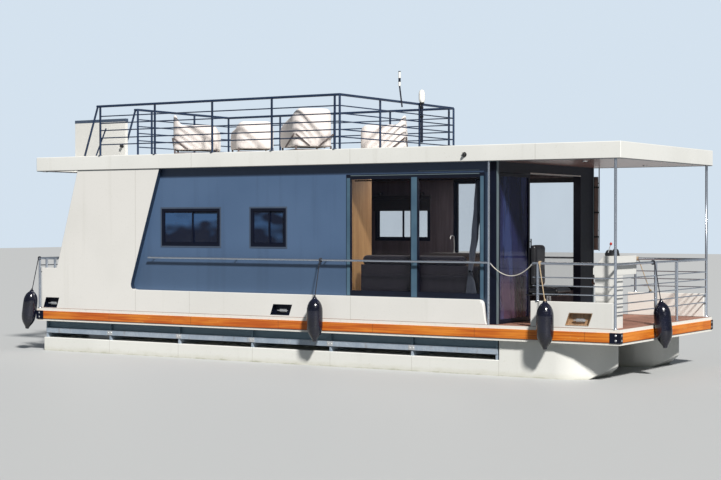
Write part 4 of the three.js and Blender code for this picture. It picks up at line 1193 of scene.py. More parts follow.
# radome: a V-shaped bracket under the dome, and clamps on its pole
radomeFit = {
    "foot": (0.8043, 0.592, 4.314),
    "arms": (-0.055, 0.055),
    "cup": [(0.0205, -0.014), (0.040, -0.010), (0.042, 0.0), (0.0205, 0.0), (0.0205, -0.014)],
    "clamp": [(0.0203, -0.012), (0.026, -0.012), (0.026, 0.012), (0.0203, 0.012), (0.0203, -0.012)],
    "clampHeights": (4.10, 4.24),
}


def makeRadomeFit(r):
    x, y, z = r["foot"]
    bm = bmesh.new()
    for shift in r["arms"]:
        addRod(bm, (x, y + shift, z + 0.012), (x, y, z - 0.11), 0.008, 10)
    addTurned(bm, r["cup"], (x, y, z - 0.002), (0, 0, 1), 22)
    for height in r["clampHeights"]:
        addTurned(bm, r["clamp"], (x, y, height), (0, 0, 1), 20)
    place("radome_bracket", bm, "black")


makeRadomeFit(radomeFit)
print("stair grips and radome fittings made")

# padded pieces: a rounded block, remeshed, crowned, then blown up a little as cloth
padding = {
    "voxel": 0.014,
    "quality": 5,
    "mass": 0.3,
    "pressure": 4.0,
    "frames": 20,
    "cap": 0.010,
}


def inflated(piece, p):  # cloth under pressure, with how far a point may move kept small
    scene = bpy.context.scene
    start = [vert.co.copy() for vert in piece.data.vertices]
    cloth = piece.modifiers.new("cloth", "CLOTH")
    cloth.settings.quality = p["quality"]
    cloth.settings.mass = p["mass"]
    cloth.settings.use_pressure = True
    cloth.settings.uniform_pressure_force = p["pressure"]
    cloth.settings.effector_weights.gravity = 0.0
    cloth.point_cache.frame_start = 1
    cloth.point_cache.frame_end = p["frames"]
    for step in range(1, p["frames"] + 1):
        scene.frame_set(step)
    blown = piece.evaluated_get(bpy.context.evaluated_depsgraph_get()).to_mesh()
    moves = [vert.co - before for vert, before in zip(blown.vertices, start)]
    piece.evaluated_get(bpy.context.evaluated_depsgraph_get()).to_mesh_clear()
    piece.modifiers.remove(cloth)
    scene.frame_set(1)
    for vert, before, move in zip(piece.data.vertices, start, moves):
        if move.length > p["cap"]:
            move = move * (p["cap"] / move.length)
        vert.co = before + move


def makePad(name, low, high, finish, crown, pull, soft, fill=0.7, turn=Matrix(), flatFoot=True, scale=1.0):
    low, high = Vector(low), Vector(high)
    middle, half = (low + high) / 2, (high - low) / 2
    bm = bmesh.new()
    addBox(bm, -half, half, min(soft, 0.48 * min(high - low)), 4)
    mesh = bpy.data.meshes.new(name)
    bm.to_mesh(mesh)
    bm.free()
    piece = linked(name, mesh)
    even = piece.modifiers.new("even", "REMESH")
    even.mode = "VOXEL"
    even.voxel_size = padding["voxel"] * scale
    piece.data = bpy.data.meshes.new_from_object(piece.evaluated_get(bpy.context.evaluated_depsgraph_get()))
    piece.modifiers.clear()
    for vert in piece.data.vertices:
        across, along = vert.co.x / half.x, vert.co.y / half.y
        bulgeX, bulgeY = 1 - min(1.0, across * across), 1 - min(1.0, along * along)
        level = max(0.0, vert.co.z / half.z)
        vert.co.z += crown * level * bulgeX * bulgeY - crown * 0.4 * level
        vert.co.x -= pull * across * bulgeY
        vert.co.y -= pull * along * bulgeX
    inflated(piece, padding)
    if flatFoot:
        for vert in piece.data.vertices:
            vert.co.z = max(vert.co.z, -half.z)
    piece.data.transform(turn @ Matrix.Translation(middle))
    subdivided(piece, 1)
    settle(piece, finish, "boat", ())


# sofa along the starboard glazing: plinth, back panel, arm, three seat cushions and a long bolster
sofa = {
    "along": (1.000, 2.900),
    "back": -1.480,
    "front": -0.880,
    "foot": 1.0903,
    "plinthTop": 1.372,
    "seatTop": 1.512,
    "backTop": 1.872,
    "backFace": -1.425,
    "groove": (1.712, 1.748),
    "seats": 3,
    "armFore": 1.150,
    "armTop": 1.684,
    "bolster": ((1.000, -1.476, 1.856), (2.670, -1.330, 2.006)),
}


def makeSofa(s):
    aft, fore = s["along"]
    back, face, front, foot, top = s["back"], s["backFace"], s["front"], s["foot"], s["plinthTop"]
    grooveLow, grooveHigh = s["groove"]
    bm = bmesh.new()
    addBox(bm, (aft, back, foot + 0.05), (fore, front + 0.02, top), 0.006)
    addBox(bm, (aft + 0.04, back + 0.03, foot), (fore - 0.04, front - 0.03, foot + 0.055), 0.002)
    addBox(bm, (aft, back, top - 0.01), (fore, face, grooveLow), 0.006)
    addBox(bm, (aft, back + 0.008, grooveLow - 0.01), (fore, face, grooveHigh + 0.01), 0.002)
    addBox(bm, (aft, back, grooveHigh), (fore, face, s["backTop"]), 0.006)
    place("sofa_plinth", bm, "panel", replaces=("sofa",))
    rest = top + 0.002
    makePad("sofa_arm", (aft, back + 0.06, rest), (s["armFore"], front, s["armTop"]), "sofa", 0.012, 0.006, 0.04)
    width = (fore - s["armFore"]) / s["seats"]
    for number in range(s["seats"]):
        start = s["armFore"] + number * width
        makePad(f"sofa_seat_{number + 1}", (start + 0.004, back + 0.062, rest),
                (start + width - 0.004, front, s["seatTop"]), "sofa", 0.022, 0.008, 0.045)
    makePad("sofa_bolster", *s["bolster"], "sofa", 0.004, 0.0, 0.068, flatFoot=False)


makeSofa(sofa)
print("sofa made")

# helm seat: pedestal, cushion and rounded back
helmSeat = {
    "cushion": ((3.570, -1.356, 1.506), (4.025, -0.894, 1.588)),
    "back": ((3.570, -1.300, 1.600), (3.664, -0.950, 2.172)),
    "post": (3.780, -1.125, 1.0903),
    "pedestal": [(0, 0), (0.16, 0), (0.165, 0.006), (0.150, 0.018), (0.060, 0.030), (0.044, 0.05), (0.040, 0.20),
                 (0.046, 0.21), (0.046, 0.24), (0.034, 0.25), (0.034, 0.385), (0.10, 0.392), (0, 0.393)],
    "bolts": 6,
    "boltCircle": 0.125,
    "shell": ((3.555, -1.360, 1.484), (4.030, -0.890, 1.503)),
    "backShell": ((3.558, -1.280, 1.484), (3.569, -0.970, 2.122)),
}


def makeHelmSeat(h):
    x, y, z = h["post"]
    bm = bmesh.new()
    addTurned(bm, h["pedestal"], (x, y, z), (0, 0, 1), 36)
    for k in range(h["bolts"]):
        angle = math.tau * (k + 0.5) / h["bolts"]
        addBolt(bm, (*around(x, y, h["boltCircle"], angle), z + 0.019), (0, 0, 1))
    place("helm_pedestal", bm, "bright", replaces=("helm_seat",))
    bm = bmesh.new()
    addBox(bm, *h["shell"], 0.008)
    addBox(bm, *h["backShell"], 0.004)
    place("helm_seat_shell", bm, "black")
    makePad("helm_cushion", *h["cushion"], "seat", 0.016, 0.010, 0.032, 0.85, scale=0.8)
    makePad("helm_back", *h["back"], "seat", 0.004, 0.006, 0.044, 0.85, flatFoot=False, scale=0.8)


makeHelmSeat(helmSeat)
print("helm seat made")

# terrace chairs: a wrapped shell, a base, a cushion, and a brown tube frame with crossed braces
chair = {
    # middle in X and Y, heading, width, depth, height of the back, front height of the arms,
    # how far a corner of the back stands up, its side, sides with braces
    "places": [
        (-2.265, -1.080, -56, 0.700, 0.700, 0.445, 0.380, 0.205, -1, (-1,)),
        (-1.300, -0.950, -45, 0.580, 0.730, 0.480, 0.350, 0.0, -1, ()),
        (-0.185, -1.120, -37, 0.600, 0.730, 0.625, 0.400, 0.0, -1, (-1, 1)),
        (0.280, 0.340, -62, 0.700, 0.680, 0.445, 0.380, 0.185, 1, (1,)),
    ],
    "roof": 3.5173,
    "foot": 0.064,
    "shoulder": 0.095,
    "peakReach": 0.13,
    "armEnd": 0.07,
    "armDrop": 0.08,
    "corner": 0.110,
    "steps": 6,
    "thickness": 0.050,
    "seat": 0.300,
    "skid": 0.014,
    "brace": 0.012,
    "braceFoot": 0.07,
    "apex": 0.245,
}


def shellPlan(lineX, lineY, front, c):  # middle line from one arm to the other, with its outward directions
    radius, steps = c["corner"], c["steps"]
    bend, side = lineX - radius, lineY - radius
    straight = [front + k * (bend - front) / steps for k in range(steps + 1)]
    plan = [((x, -lineY), (0, -1)) for x in straight]
    for middle, start in ((-side, -math.pi / 2), (side, 0.0)):
        for k in range(1, steps):
            out = (math.cos(start + math.pi / 2 * k / steps), math.sin(start + math.pi / 2 * k / steps))
            plan.append(((bend + radius * out[0], middle + radius * out[1]), out))
        if start:
            plan += [((lineX, -side + k * 2 * side / steps), (1, 0)) for k in range(steps + 1)]
    return plan + [((x, lineY), (0, 1)) for x in reversed(straight)]


def makeChair(name, x, y, heading, width, depth, back, arm, peak, peakSide, braced, c):
    turn = Matrix.Translation((x, y, c["roof"])) @ Matrix.Rotation(math.radians(heading), 4, "Z")
    halfWidth, halfDepth, half, foot = width / 2, depth / 2, c["thickness"] / 2, c["foot"]
    lineY, lineX = halfWidth - half, halfDepth - half
    bend, shoulder = lineX - c["corner"], c["shoulder"]

    def height(px, py):
        peaked = peak and py * peakSide > 0
        if px > bend + 1e-6:
            if peaked:
                return back + peak * max(0.0, (abs(py) - halfWidth + c["peakReach"]) / c["peakReach"])
            beyond = max(0.0, abs(py) / lineY * halfWidth - (halfWidth - shoulder))
            return back - shoulder + math.sqrt(max(0.0, shoulder ** 2 - beyond ** 2))
        front = -halfDepth + c["armEnd"]
        if px < front:
            return arm - c["armDrop"] + c["armDrop"] * (px + halfDepth) / c["armEnd"]
        end = back + peak * 0.8 if peaked else back - shoulder
        return arm + (end - arm) * (px - front) / (bend - front)

    bm = bmesh.new()
    rings = []
    for (px, py), (nx, ny) in shellPlan(lineX, lineY, -halfDepth + 0.004, c):
        top = height(px, py)
        waist = foot + (top - foot) * 0.5
        outer = [(half * 0.8, foot), (half, foot + 0.03), (half, waist), (half, top - 0.03), (half * 0.75, top)]
        section = outer + [(-off, z) for off, z in reversed(outer)]
        rings.append([bm.verts.new(turn @ Vector((px + nx * off, py + ny * off, z))) for off, z in section])
    addSkin(bm, rings)
    bm.faces.new(rings[0])
    bm.faces.new(rings[-1])
    shell = place(f"{name}_shell", bm, "cream", replaces=(name,), smooth=80)
    subdivided(shell, 2)

    bm = bmesh.new()
    made = addBox(bm, (-halfDepth + 0.018, -halfWidth + 0.053, foot + 0.005),
                  (halfDepth - 0.054, halfWidth - 0.053, c["seat"] - 0.085), 0.012, 3)
    bmesh.ops.transform(bm, matrix=turn, verts=made)
    place(f"{name}_base", bm, "cream")
    makePad(f"{name}_cushion", (-halfDepth + 0.014, -halfWidth + 0.056, c["seat"] - 0.083),
            (halfDepth - 0.058, halfWidth - 0.056, c["seat"] - 0.004), "cream", 0.018, 0.008, 0.034, turn=turn)

    bm = bmesh.new()
    fore, aft = -halfDepth + 0.04, halfDepth - 0.02
    skid, brace, apex, low = c["skid"], c["brace"], c["apex"], c["braceFoot"]
    for side in (-1, 1):
        line, outside, behind = side * (halfWidth - 0.03), side * (halfWidth + 0.005), halfDepth + 0.005
        addRod(bm, (fore, line, skid), (aft, line, skid), skid, 14)
        for station in (fore + 0.02, aft - 0.02):
            addRod(bm, (station, line, skid), (station, line, foot + 0.012), skid, 14)
        if side in braced:
            addRod(bm, (aft - 0.01, outside, apex), (aft - 0.40, outside, low), brace)
            addRod(bm, (behind, side * (halfWidth - 0.01), apex), (behind, side * (halfWidth - 0.23), low), brace)
    for station in (fore, aft):
        addRod(bm, (station, -halfWidth + 0.03, skid), (station, halfWidth - 0.03, skid), skid, 14)
    bmesh.ops.transform(bm, matrix=turn, verts=bm.verts)
    place(f"{name}_frame", bm, "frameBrown")


for number, row in enumerate(chair["places"], 1):
    makeChair(f"chair_{number}", *row, chair)
print("chairs made:", len(chair["places"]))

# curtain gathered in the saloon's front starboard corner, and the rail that carries it
curtain = {
    "rail": {"along": (0.920, 2.980), "across": -1.513, "height": 3.062, "radius": 0.009, "wall": -1.545},
    "railHolds": (0.950, 1.95, 2.950),
    "flat": (0.81, 1.58),
    "thickness": 0.0012,
    "folds": 7,
    "columns": 112,
    "rows": 34,
    "across": -1.5125,
    "deepest": 0.0265,
    # height, middle along the boat, half width
    "shape": [(3.050, 2.925, 0.055), (2.700, 2.900, 0.052), (2.300, 2.862, 0.048), (2.000, 2.822, 0.040),
              (1.860, 2.800, 0.030), (1.800, 2.792, 0.022), (1.740, 2.794, 0.030), (1.620, 2.800, 0.062),
              (1.470, 2.806, 0.092)],
    "tie": {"middle": 2.792, "reach": (0.030, 0.0305), "heights": (1.785, 1.818), "steps": 20,
            "thickness": 0.002},
}


def shapeAt(rows, height):
    for (z0, *first), (z1, *second) in zip(rows, rows[1:]):
        if z1 <= height <= z0:
            share = (z0 - height) / (z0 - z1)
            share = share * share * (3 - 2 * share)
            return [a + (b - a) * share for a, b in zip(first, second)]
    return list(rows[-1][1:])


def makeCurtain(c):
    top, foot = c["shape"][0][0], c["shape"][-1][0]
    bm = bmesh.new()
    rows = []
    for row in range(c["rows"] + 1):
        z = top + (foot - top) * row / c["rows"]
        middle, half = shapeAt(c["shape"], z)
        line = []
        for column in range(c["columns"] + 1):
            share = column / c["columns"]
            wave = math.tau * c["folds"] * share
            drift = 0.25 * math.sin(3.1 * z + 9.0 * share)
            x = middle + half * (2 * share - 1) + 0.004 * math.sin(2 * wave + 1.3 * z)
            line.append(bm.verts.new((x, c["across"] + c["deepest"] * math.sin(wave + drift), z)))
        rows.append(line)
    addSkin(bm, rows, closed=False)
    piece = place("curtain", bm, "curtain", smooth=80)
    thickened(piece, c["thickness"])

    rail = c["rail"]
    y, z = rail["across"], rail["height"]
    bm = bmesh.new()
    addRod(bm, (rail["along"][0], y, z), (rail["along"][1], y, z), rail["radius"], 14)
    for station in c["railHolds"]:
        addBox(bm, (station - 0.012, rail["wall"], z - 0.006), (station + 0.012, y, z + 0.006), 0.001)
    place("curtain_rail", bm, "dark")

    band = c["tie"]
    reachX, reachY = band["reach"]
    turns = [math.tau * step / band["steps"] for step in range(band["steps"])]
    bm = bmesh.new()  # tieback round the gathered cloth
    addSkin(bm, [[bm.verts.new((band["middle"] + reachX * math.cos(t), c["across"] + reachY * math.sin(t), z))
                  for t in turns] for z in band["heights"]])
    bmesh.ops.solidify(bm, geom=bm.faces[:], thickness=band["thickness"])
    tie = place("curtain_tie", bm, "dark")


makeCurtain(curtain)

# rolled side blind, tied to the slim port post of the foredeck
roll = {
    "middle": (3.2230, 1.662),
    "low": 2.050,
    "high": 3.160,
    "flat": (0.88, 1.11),
    "thickness": 0.0014,
    "inner": 0.018,
    "outer": 0.052,
    "turns": 4,
    "steps": 28,
    "levels": 16,
    "start": 2.4,
    "straps": (2.25, 2.62, 3.00),
    "strapHalf": 0.012,
    "strapThickness": 0.0016,
    "post": (3.150, 0.0188, 0.0185),  # its place along the boat, the strap's reach round it
    "hooks": (2.350, 3.060),
    "poleTop": 3.2946,
}


def makeRoll(r):
    x, y = r["middle"]
    total, levels = r["turns"] * r["steps"], r["levels"]
    bm = bmesh.new()
    columns = []
    for step in range(total + 1):
        share = step / total
        angle = math.tau * r["turns"] * share + r["start"]
        column = []
        for level in range(levels + 1):
            z = r["low"] + (r["high"] - r["low"]) * level / levels
            ripple = 0.0016 * math.sin(7.0 * z + angle) * share
            radius = r["inner"] + (r["outer"] - r["inner"]) * share + ripple
            column.append(bm.verts.new((*around(x, y, radius, angle), z)))
        columns.append(column)
    addSkin(bm, columns[::-1], closed=False)
    piece = place("side_blind", bm, "blind", smooth=80, turnOut=False)
    thickened(piece, r["thickness"])

    bm = bmesh.new()
    reach = r["outer"] + 0.0035
    postX, reachX, reachY = r["post"]  # the straps go round the roll and the post beside it
    loop = [around(x, y, reach, math.radians(turn)) for turn in range(-150, 151, 25)]
    for turn in map(math.radians, range(120, 241, 30)):
        loop.append((postX + reachX * math.cos(turn), y + reachY * math.sin(turn)))
    for z in r["straps"]:
        levels = (z - r["strapHalf"], z + r["strapHalf"])
        addSkin(bm, [[bm.verts.new((*spot, level)) for spot in loop] for level in levels])
    bmesh.ops.solidify(bm, geom=bm.faces[:], thickness=r["strapThickness"])
    straps = place("side_blind_straps", bm, "black")

    bm = bmesh.new()  # the pole at its fore edge, up to a hook under the roof
    pole = x + reach + 0.012
    addRod(bm, (pole, y, r["low"] - 0.01), (pole, y, r["poleTop"]), 0.008)
    for z in r["hooks"]:
        addRod(bm, (pole, y, z), (x + reach - 0.002, y, z), 0.005, 8)
    place("side_blind_pole", bm, "dark")


makeRoll(roll)
print("curtain and blind made")

# galley fronts, sink, tap and hob
galley = {
    "face": 0.950,
    "along": (0.772, 2.288),
    "low": 1.130,
    "high": 1.935,
    "drawer": 0.17,  # over every second door
    "doors": 4,
    "gap": 0.004,
    "thick": 0.0055,
    "grip": (0.075, 0.005, 0.024),  # half length, radius, distance from the front
    "gripFeet": (-0.06, 0.06),
    "worktop": 1.990,
    "sink": (0.930, 1.170, 0.190, 0.155),  # middle, half sizes
    "bowl": [(1.0, 0.0004), (1.0, 0.004), (0.93, 0.004), (0.90, 0.0015), (0.86, 0.0015)],
    "bowlSteps": 32,
    "tap": (0.950, 1.360),
    "tapFoot": [(0, 0.0), (0.024, 0.0), (0.024, 0.006), (0.015, 0.012), (0.013, 0.05), (0, 0.05)],
    "arch": [(0.0, 0.045), (0.0, 0.20), (-0.015, 0.25), (-0.055, 0.275), (-0.105, 0.265), (-0.130, 0.22)],
    "knuckle": [(0, -0.010), (0.007, -0.007), (0.010, 0), (0.007, 0.007), (0, 0.010)],
    "hob": (2.060, 1.170, 0.180, 0.170),
    "cookers": ((-0.08, -0.07, 0.055), (0.08, -0.07, 0.045), (-0.08, 0.08, 0.045), (0.08, 0.08, 0.055)),
}


def makeGalley(g):
    aft, fore = g["along"]
    width = (fore - aft) / g["doors"]
    face, front = g["face"] - 0.0003, g["face"] - g["thick"]
    fronts, grips = bmesh.new(), bmesh.new()
    halfGrip, gripRadius, gripOut = g["grip"]
    for k in range(g["doors"]):
        start, end = aft + k * width + g["gap"], aft + (k + 1) * width - g["gap"]
        split = g["high"] - g["drawer"] * (k % 2)
        addBox(fronts, (start, front, g["low"]), (end, face, split), 0.0015)
        if k % 2:
            addBox(fronts, (start, front, split + 0.006), (end, face, g["high"]), 0.0015)
        middle, z = aft + (k + 0.5) * width, g["high"] - (g["drawer"] / 2 if k % 2 else 0.05)
        y = front - gripOut
        addRod(grips, (middle - halfGrip, y, z), (middle + halfGrip, y, z), gripRadius)
        for shift in g["gripFeet"]:
            addRod(grips, (middle + shift, y, z), (middle + shift, front, z), 0.004, 10)
    place("galley_fronts", fronts, "cabinet")

    bm, z = grips, g["worktop"]
    x, y, halfX, halfY = g["sink"]
    rings = []
    for share, height in g["bowl"]:
        ring = []
        for step in range(g["bowlSteps"]):
            angle = math.tau * (step + 0.5) / g["bowlSteps"]
            c, s = math.cos(angle), math.sin(angle)
            reach = share * (1 / max(abs(c), abs(s)) * 0.55 + 0.45)  # between a circle and a square
            ring.append(bm.verts.new((x + halfX * reach * c, y + halfY * reach * s, z + height)))
        rings.append(ring)
    addSkin(bm, rings)
    bm.faces.new(rings[-1])
    x, y = g["tap"]
    addTurned(bm, g["tapFoot"], (x, y, z + 0.0004), (0, 0, 1), 20)
    arch = [Vector((x, y + along, z + up)) for along, up in g["arch"]]
    for start, end in zip(arch, arch[1:]):
        addRod(bm, start, end, 0.010, 14)
        addTurned(bm, g["knuckle"], end, (0, 0, 1), 14)
    place("sink_and_tap", bm, "bright")

    x, y, halfX, halfY = g["hob"]
    bm = bmesh.new()
    addBox(bm, (x - halfX, y - halfY, z + 0.0004), (x + halfX, y + halfY, z + 0.006), 0.002)
    for dx, dy, radius in g["cookers"]:
        ring = [(radius - 0.002, 0.0), (radius, 0.0008), (radius + 0.002, 0.0), (radius - 0.002, 0.0)]
        addTurned(bm, ring, (x + dx, y + dy, z + 0.0061), (0, 0, 1), 28)
    place("hob", bm, "black")


makeGalley(galley)

# pleated blind over the galley window, lamps on the port wall and under the ceiling
inside = {
    "wall": 1.545,
    "blind": (-0.650, 0.430, 2.655, 2.905),
    "pleats": 9,
    "cassette": 0.06,
    "wallLamps": ((-0.510, 2.934), (0.274, 2.926)),
    "lampArm": [(0, 0.0), (0.030, 0.0), (0.030, 0.010), (0.010, 0.014), (0.010, 0.034), (0, 0.035)],
    "lampShade": [(0, -0.034), (0.024, -0.034), (0.033, 0.026), (0.029, 0.026), (0.020, -0.028), (0, -0.028)],
    "ceiling": 3.2948,
    "ceilingLamp": [(0, -0.009), (0.050, -0.009), (0.054, -0.005), (0.066, -0.007), (0.070, -0.002), (0.070, 0.0),
                    (0, 0.0)],
    "ceilingLamps": ((1.30, 0.0), (2.30, 0.0), (-0.6, 0.0), (-2.4, 0.0)),
}


def makeInside(i):
    x0, x1, z0, z1 = i["blind"]
    wall, pleats = i["wall"], i["pleats"]
    bm = bmesh.new()
    addBox(bm, (x0, wall - 0.055, z1 - i["cassette"]), (x1, wall - 0.0004, z1), 0.012, 3)
    for k in range(pleats):
        low = z0 + 0.02 + k * (z1 - 0.065 - z0 - 0.02) / pleats
        addBox(bm, (x0 + 0.012, wall - 0.030, low), (x1 - 0.012, wall - 0.012, low + 0.0205), 0.006)
    addBox(bm, (x0 + 0.008, wall - 0.034, z0), (x1 - 0.008, wall - 0.008, z0 + 0.022), 0.004)
    place("galley_blind", bm, "blackCloth")
    bm = bmesh.new()
    for x, z in i["wallLamps"]:
        addTurned(bm, i["lampArm"], (x, wall - 0.0004, z), (0, -1, 0), 20)
        addTurned(bm, i["lampShade"], (x, wall - 0.048, z), (0, 0.35, -1), 20)
    place("wall_lamps", bm, "black")
    bm = bmesh.new()
    for x, y in i["ceilingLamps"]:
        addTurned(bm, i["ceilingLamp"], (x, y, i["ceiling"]), (0, 0, 1), 28)
    place("ceiling_lamps", bm, "bright")


makeInside(inside)
print("galley and cabin fittings made")

# helm: dash with three gauges, switches, compass and throttle
helm = {
    "slope": ((4.600, 1.870), (4.750, 2.032)),
    "plate": (-1.475, -0.895),
    "plateThick": 0.005,
    "gauges": ((-1.33, 0.046), (-1.20, 0.036), (-1.04, 0.036)),
    # shares of a gauge's radius, heights
    "rim": [(0, 0.0), (1, 0.0), (1, 0.009), (0.9, 0.012), (0.84, 0.006), (0, 0.0055)],
    "dial": [(0, 0.0), (0.82, 0.0), (0.82, 0.0006), (0, 0.0007)],
    "marks": 9,
    "sweep": 130,  # degrees each way
    "needle": -60,
    "markRadius": 0.0012,
    "switches": 5,
    "switch": [(0, 0.0), (0.011, 0.0), (0.011, 0.003), (0.005, 0.005), (0.004, 0.018), (0, 0.019)],
    "compass": (4.835, -1.310, 2.0323),
    "compassProfile": [(0, 0.0004), (0.052, 0.0004), (0.055, 0.008), (0.050, 0.030), (0.046, 0.034), (0.046, 0.052),
                       (0.038, 0.076), (0.022, 0.092), (0, 0.098)],
    "throttle": (4.800, -1.425, 2.0323),
    "drum": [(0, -0.04), (0.038, -0.04), (0.040, -0.036), (0.040, 0.036), (0.038, 0.04), (0, 0.04)],
    "knob": [(0, -0.020), (0.011, -0.017), (0.017, -0.006), (0.017, 0.008), (0.010, 0.019), (0, 0.021)],
}


def makeHelm(h):
    (x0, z0), (x1, z1) = h["slope"]
    along = Vector((x1 - x0, 0, z1 - z0))
    half = along.length / 2 - 0.014
    along.normalize()
    out = Vector((-along.z, 0, along.x))
    across = Vector((0, 1, 0))
    middle = Vector(((x0 + x1) / 2, 0, (z0 + z1) / 2)) + out * 0.0004
    y0, y1 = h["plate"]
    bm = bmesh.new()
    corners = ((-half, y1), (half, y1), (half, y0), (-half, y0))
    addPlate(bm, [middle + along * a + across * y for a, y in corners], h["plateThick"], 0.002)
    place("dash_plate", bm, "black")

    rims, faces, marks = bmesh.new(), bmesh.new(), bmesh.new()
    for y, radius in h["gauges"]:
        spot = middle + across * y
        addTurned(rims, [(radius * share, level) for share, level in h["rim"]], spot + out * 0.005, out, 32)
        addTurned(faces, [(radius * share, level) for share, level in h["dial"]], spot + out * 0.0108, out, 28)
        turns = [-h["sweep"] + 2 * h["sweep"] * k / (h["marks"] - 1) for k in range(h["marks"])]
        lines = [(turn, 0.62, 0.76) for turn in turns] + [(h["needle"], 0.0, 0.6)]
        for turn, near, far in lines:
            way = (along * math.cos(math.radians(turn)) + across * math.sin(math.radians(turn))) * radius
            start = spot + out * 0.0117
            addRod(marks, start + way * near, start + way * far, h["markRadius"], 6)
    for k in range(h["switches"]):
        spot = middle + out * 0.005 - along * 0.055 + across * (-1.36 + 0.09 * k)
        addTurned(rims, h["switch"], spot, out + along * 0.35, 14)
    place("gauge_rims", rims, "bright")
    place("gauge_faces", faces, "gauge")
    place("gauge_marks", marks, "shell")

    bm = bmesh.new()
    addTurned(bm, h["compassProfile"], h["compass"], (0, 0, 1), 32)
    x, y, z = h["throttle"]
    addBox(bm, (x - 0.055, y - 0.035, z), (x + 0.055, y + 0.035, z + 0.045), 0.012, 3)
    addTurned(bm, h["drum"], (x, y, z + 0.040), (0, 1, 0), 28)
    place("compass_and_throttle", bm, "black")
    bm = bmesh.new()
    addRod(bm, (x, y - 0.043, z + 0.045), (x + 0.035, y - 0.043, z + 0.150), 0.007, 12, 0.006)
    place("throttle_lever", bm, "bright")
    bm = bmesh.new()
    addTurned(bm, h["knob"], (x + 0.038, y - 0.043, z + 0.158), (0.32, 0, 1), 20)
    place("throttle_knob", bm, "red")


makeHelm(helm)

# steering wheel: padded rim with finger waves, three spokes and a hub
wheel = {
    "centre": (4.520, -1.130, 1.800),
    "axis": (-0.94, 0.0, 0.342),
    "radius": 0.157,
    "rim": 0.0128,
    "around": 60,
    "section": 12,
    "waves": 15,
    "spokes": 3,
    "hub": [(0, -0.020), (0.030, -0.020), (0.034, -0.010), (0.042, 0.004), (0.040, 0.012), (0.024, 0.018),
            (0, 0.019)],
}


def makeWheel(w):
    turn = Vector(w["axis"]).to_track_quat("Z", "Y").to_matrix().to_4x4()
    matrix = Matrix.Translation(w["centre"]) @ turn
    bm = bmesh.new()
    rings = []
    for step in range(w["around"]):
        angle = math.tau * step / w["around"]
        thick = w["rim"] * (1 + 0.05 * math.cos(w["waves"] * angle))
        ring = []
        for k in range(w["section"]):
            about = math.tau * k / w["section"]
            reach = w["radius"] + thick * math.cos(about)
            ring.append(bm.verts.new((*around(0, 0, reach, angle), thick * math.sin(about))))
        rings.append(ring)
    addSkin(bm, rings + rings[:1])
    bmesh.ops.transform(bm, matrix=matrix, verts=bm.verts)
    place("wheel_rim", bm, "cowl", "steering_wheel", replaces=("steering_wheel",), smooth=60)
    bm = bmesh.new()
    end = w["radius"] - 0.004
    for k in range(w["spokes"]):
        angle = math.tau * k / w["spokes"] + math.pi / 2
        way = Vector((math.cos(angle), math.sin(angle), 0))
        side = Vector((-way.y, way.x, 0))
        corners = ((end, -0.010), (end, 0.010), (0.02, 0.018), (0.02, -0.018))
        addPlate(bm, [way * a + side * b + Vector((0, 0, -0.002)) for a, b in corners], 0.004, 0.001)
    addTurned(bm, w["hub"], (0, 0, 0), (0, 0, 1), 30)
    bmesh.ops.transform(bm, matrix=matrix, verts=bm.verts)
    place("wheel_spokes", bm, "bright", "steering_wheel")


makeWheel(wheel)
print("helm made")

# stern door: a framed pane, and a plate with a lock behind its lever
sternDoor = {
    "face": -3.852,
    "pane": (0.740, 1.100, 1.950, 2.850),
    "frameWidth": 0.035,
    "frameThick": 0.006,
    "lever": (-3.8522, 0.560, 2.050),
    "lock": [(0, 0.0), (0.009, 0.0), (0.009, 0.004), (0, 0.0045)],
}


def makeSternDoor(s):
    x, w = s["face"], s["frameWidth"]
    y0, y1, z0, z1 = s["pane"]
    bm = bmesh.new()
    for a, b, c, d in ((y0 - w, y0, z0 - w, z1 + w), (y1, y1 + w, z0 - w, z1 + w), (y0, y1, z0 - w, z0),
                       (y0, y1, z1, z1 + w)):
        addBox(bm, (x - s["frameThick"], a, c), (x - 0.0004, b, d), 0.002)
    place("stern_door_outer_frame", bm, "dark", "stern_door")
    bm = bmesh.new()
    addBox(bm, (x - 0.0035, y0 + 0.0005, z0 + 0.0005), (x - 0.0005, y1 - 0.0005, z1 - 0.0005), 0.0008)
    place("stern_door_outer_pane", bm, "darkPane", "stern_door")
    x, y, z = s["lever"]
    bm = bmesh.new()
    addBox(bm, (x - 0.005, y - 0.020, z - 0.09), (x - 0.0004, y + 0.020, z + 0.05), 0.002)
    addTurned(bm, s["lock"], (x - 0.0052, y, z - 0.055), (-1, 0, 0), 14)
    place("stern_door_plate", bm, "bright", "stern_door")


makeSternDoor(sternDoor)
print("stern door dressed")

# outboard motor: a band over the cowl's seam, its latch, bolts of the cavitation plate
motorTrim = {
    # height over the seam, how far it stands out
    "band": ((-0.011, 0.0004), (-0.008, 0.004), (0.008, 0.004), (0.011, 0.0004)),
    "outline": [(-4.990, -0.090), (-4.930, -0.150), (-4.740, -0.150), (-4.650, -0.070), (-4.650, 0.070),
                (-4.740, 0.150), (-4.930, 0.150), (-4.990, 0.090)],
    "middle": (-4.82, 0, 0),
    "seam": 1.112,
    "cowlBack": -4.990,
    "plateTop": 0.3881,
    "bolts": [(x, y) for y in (-0.06, 0.06) for x in (-4.93, -4.81)],
}


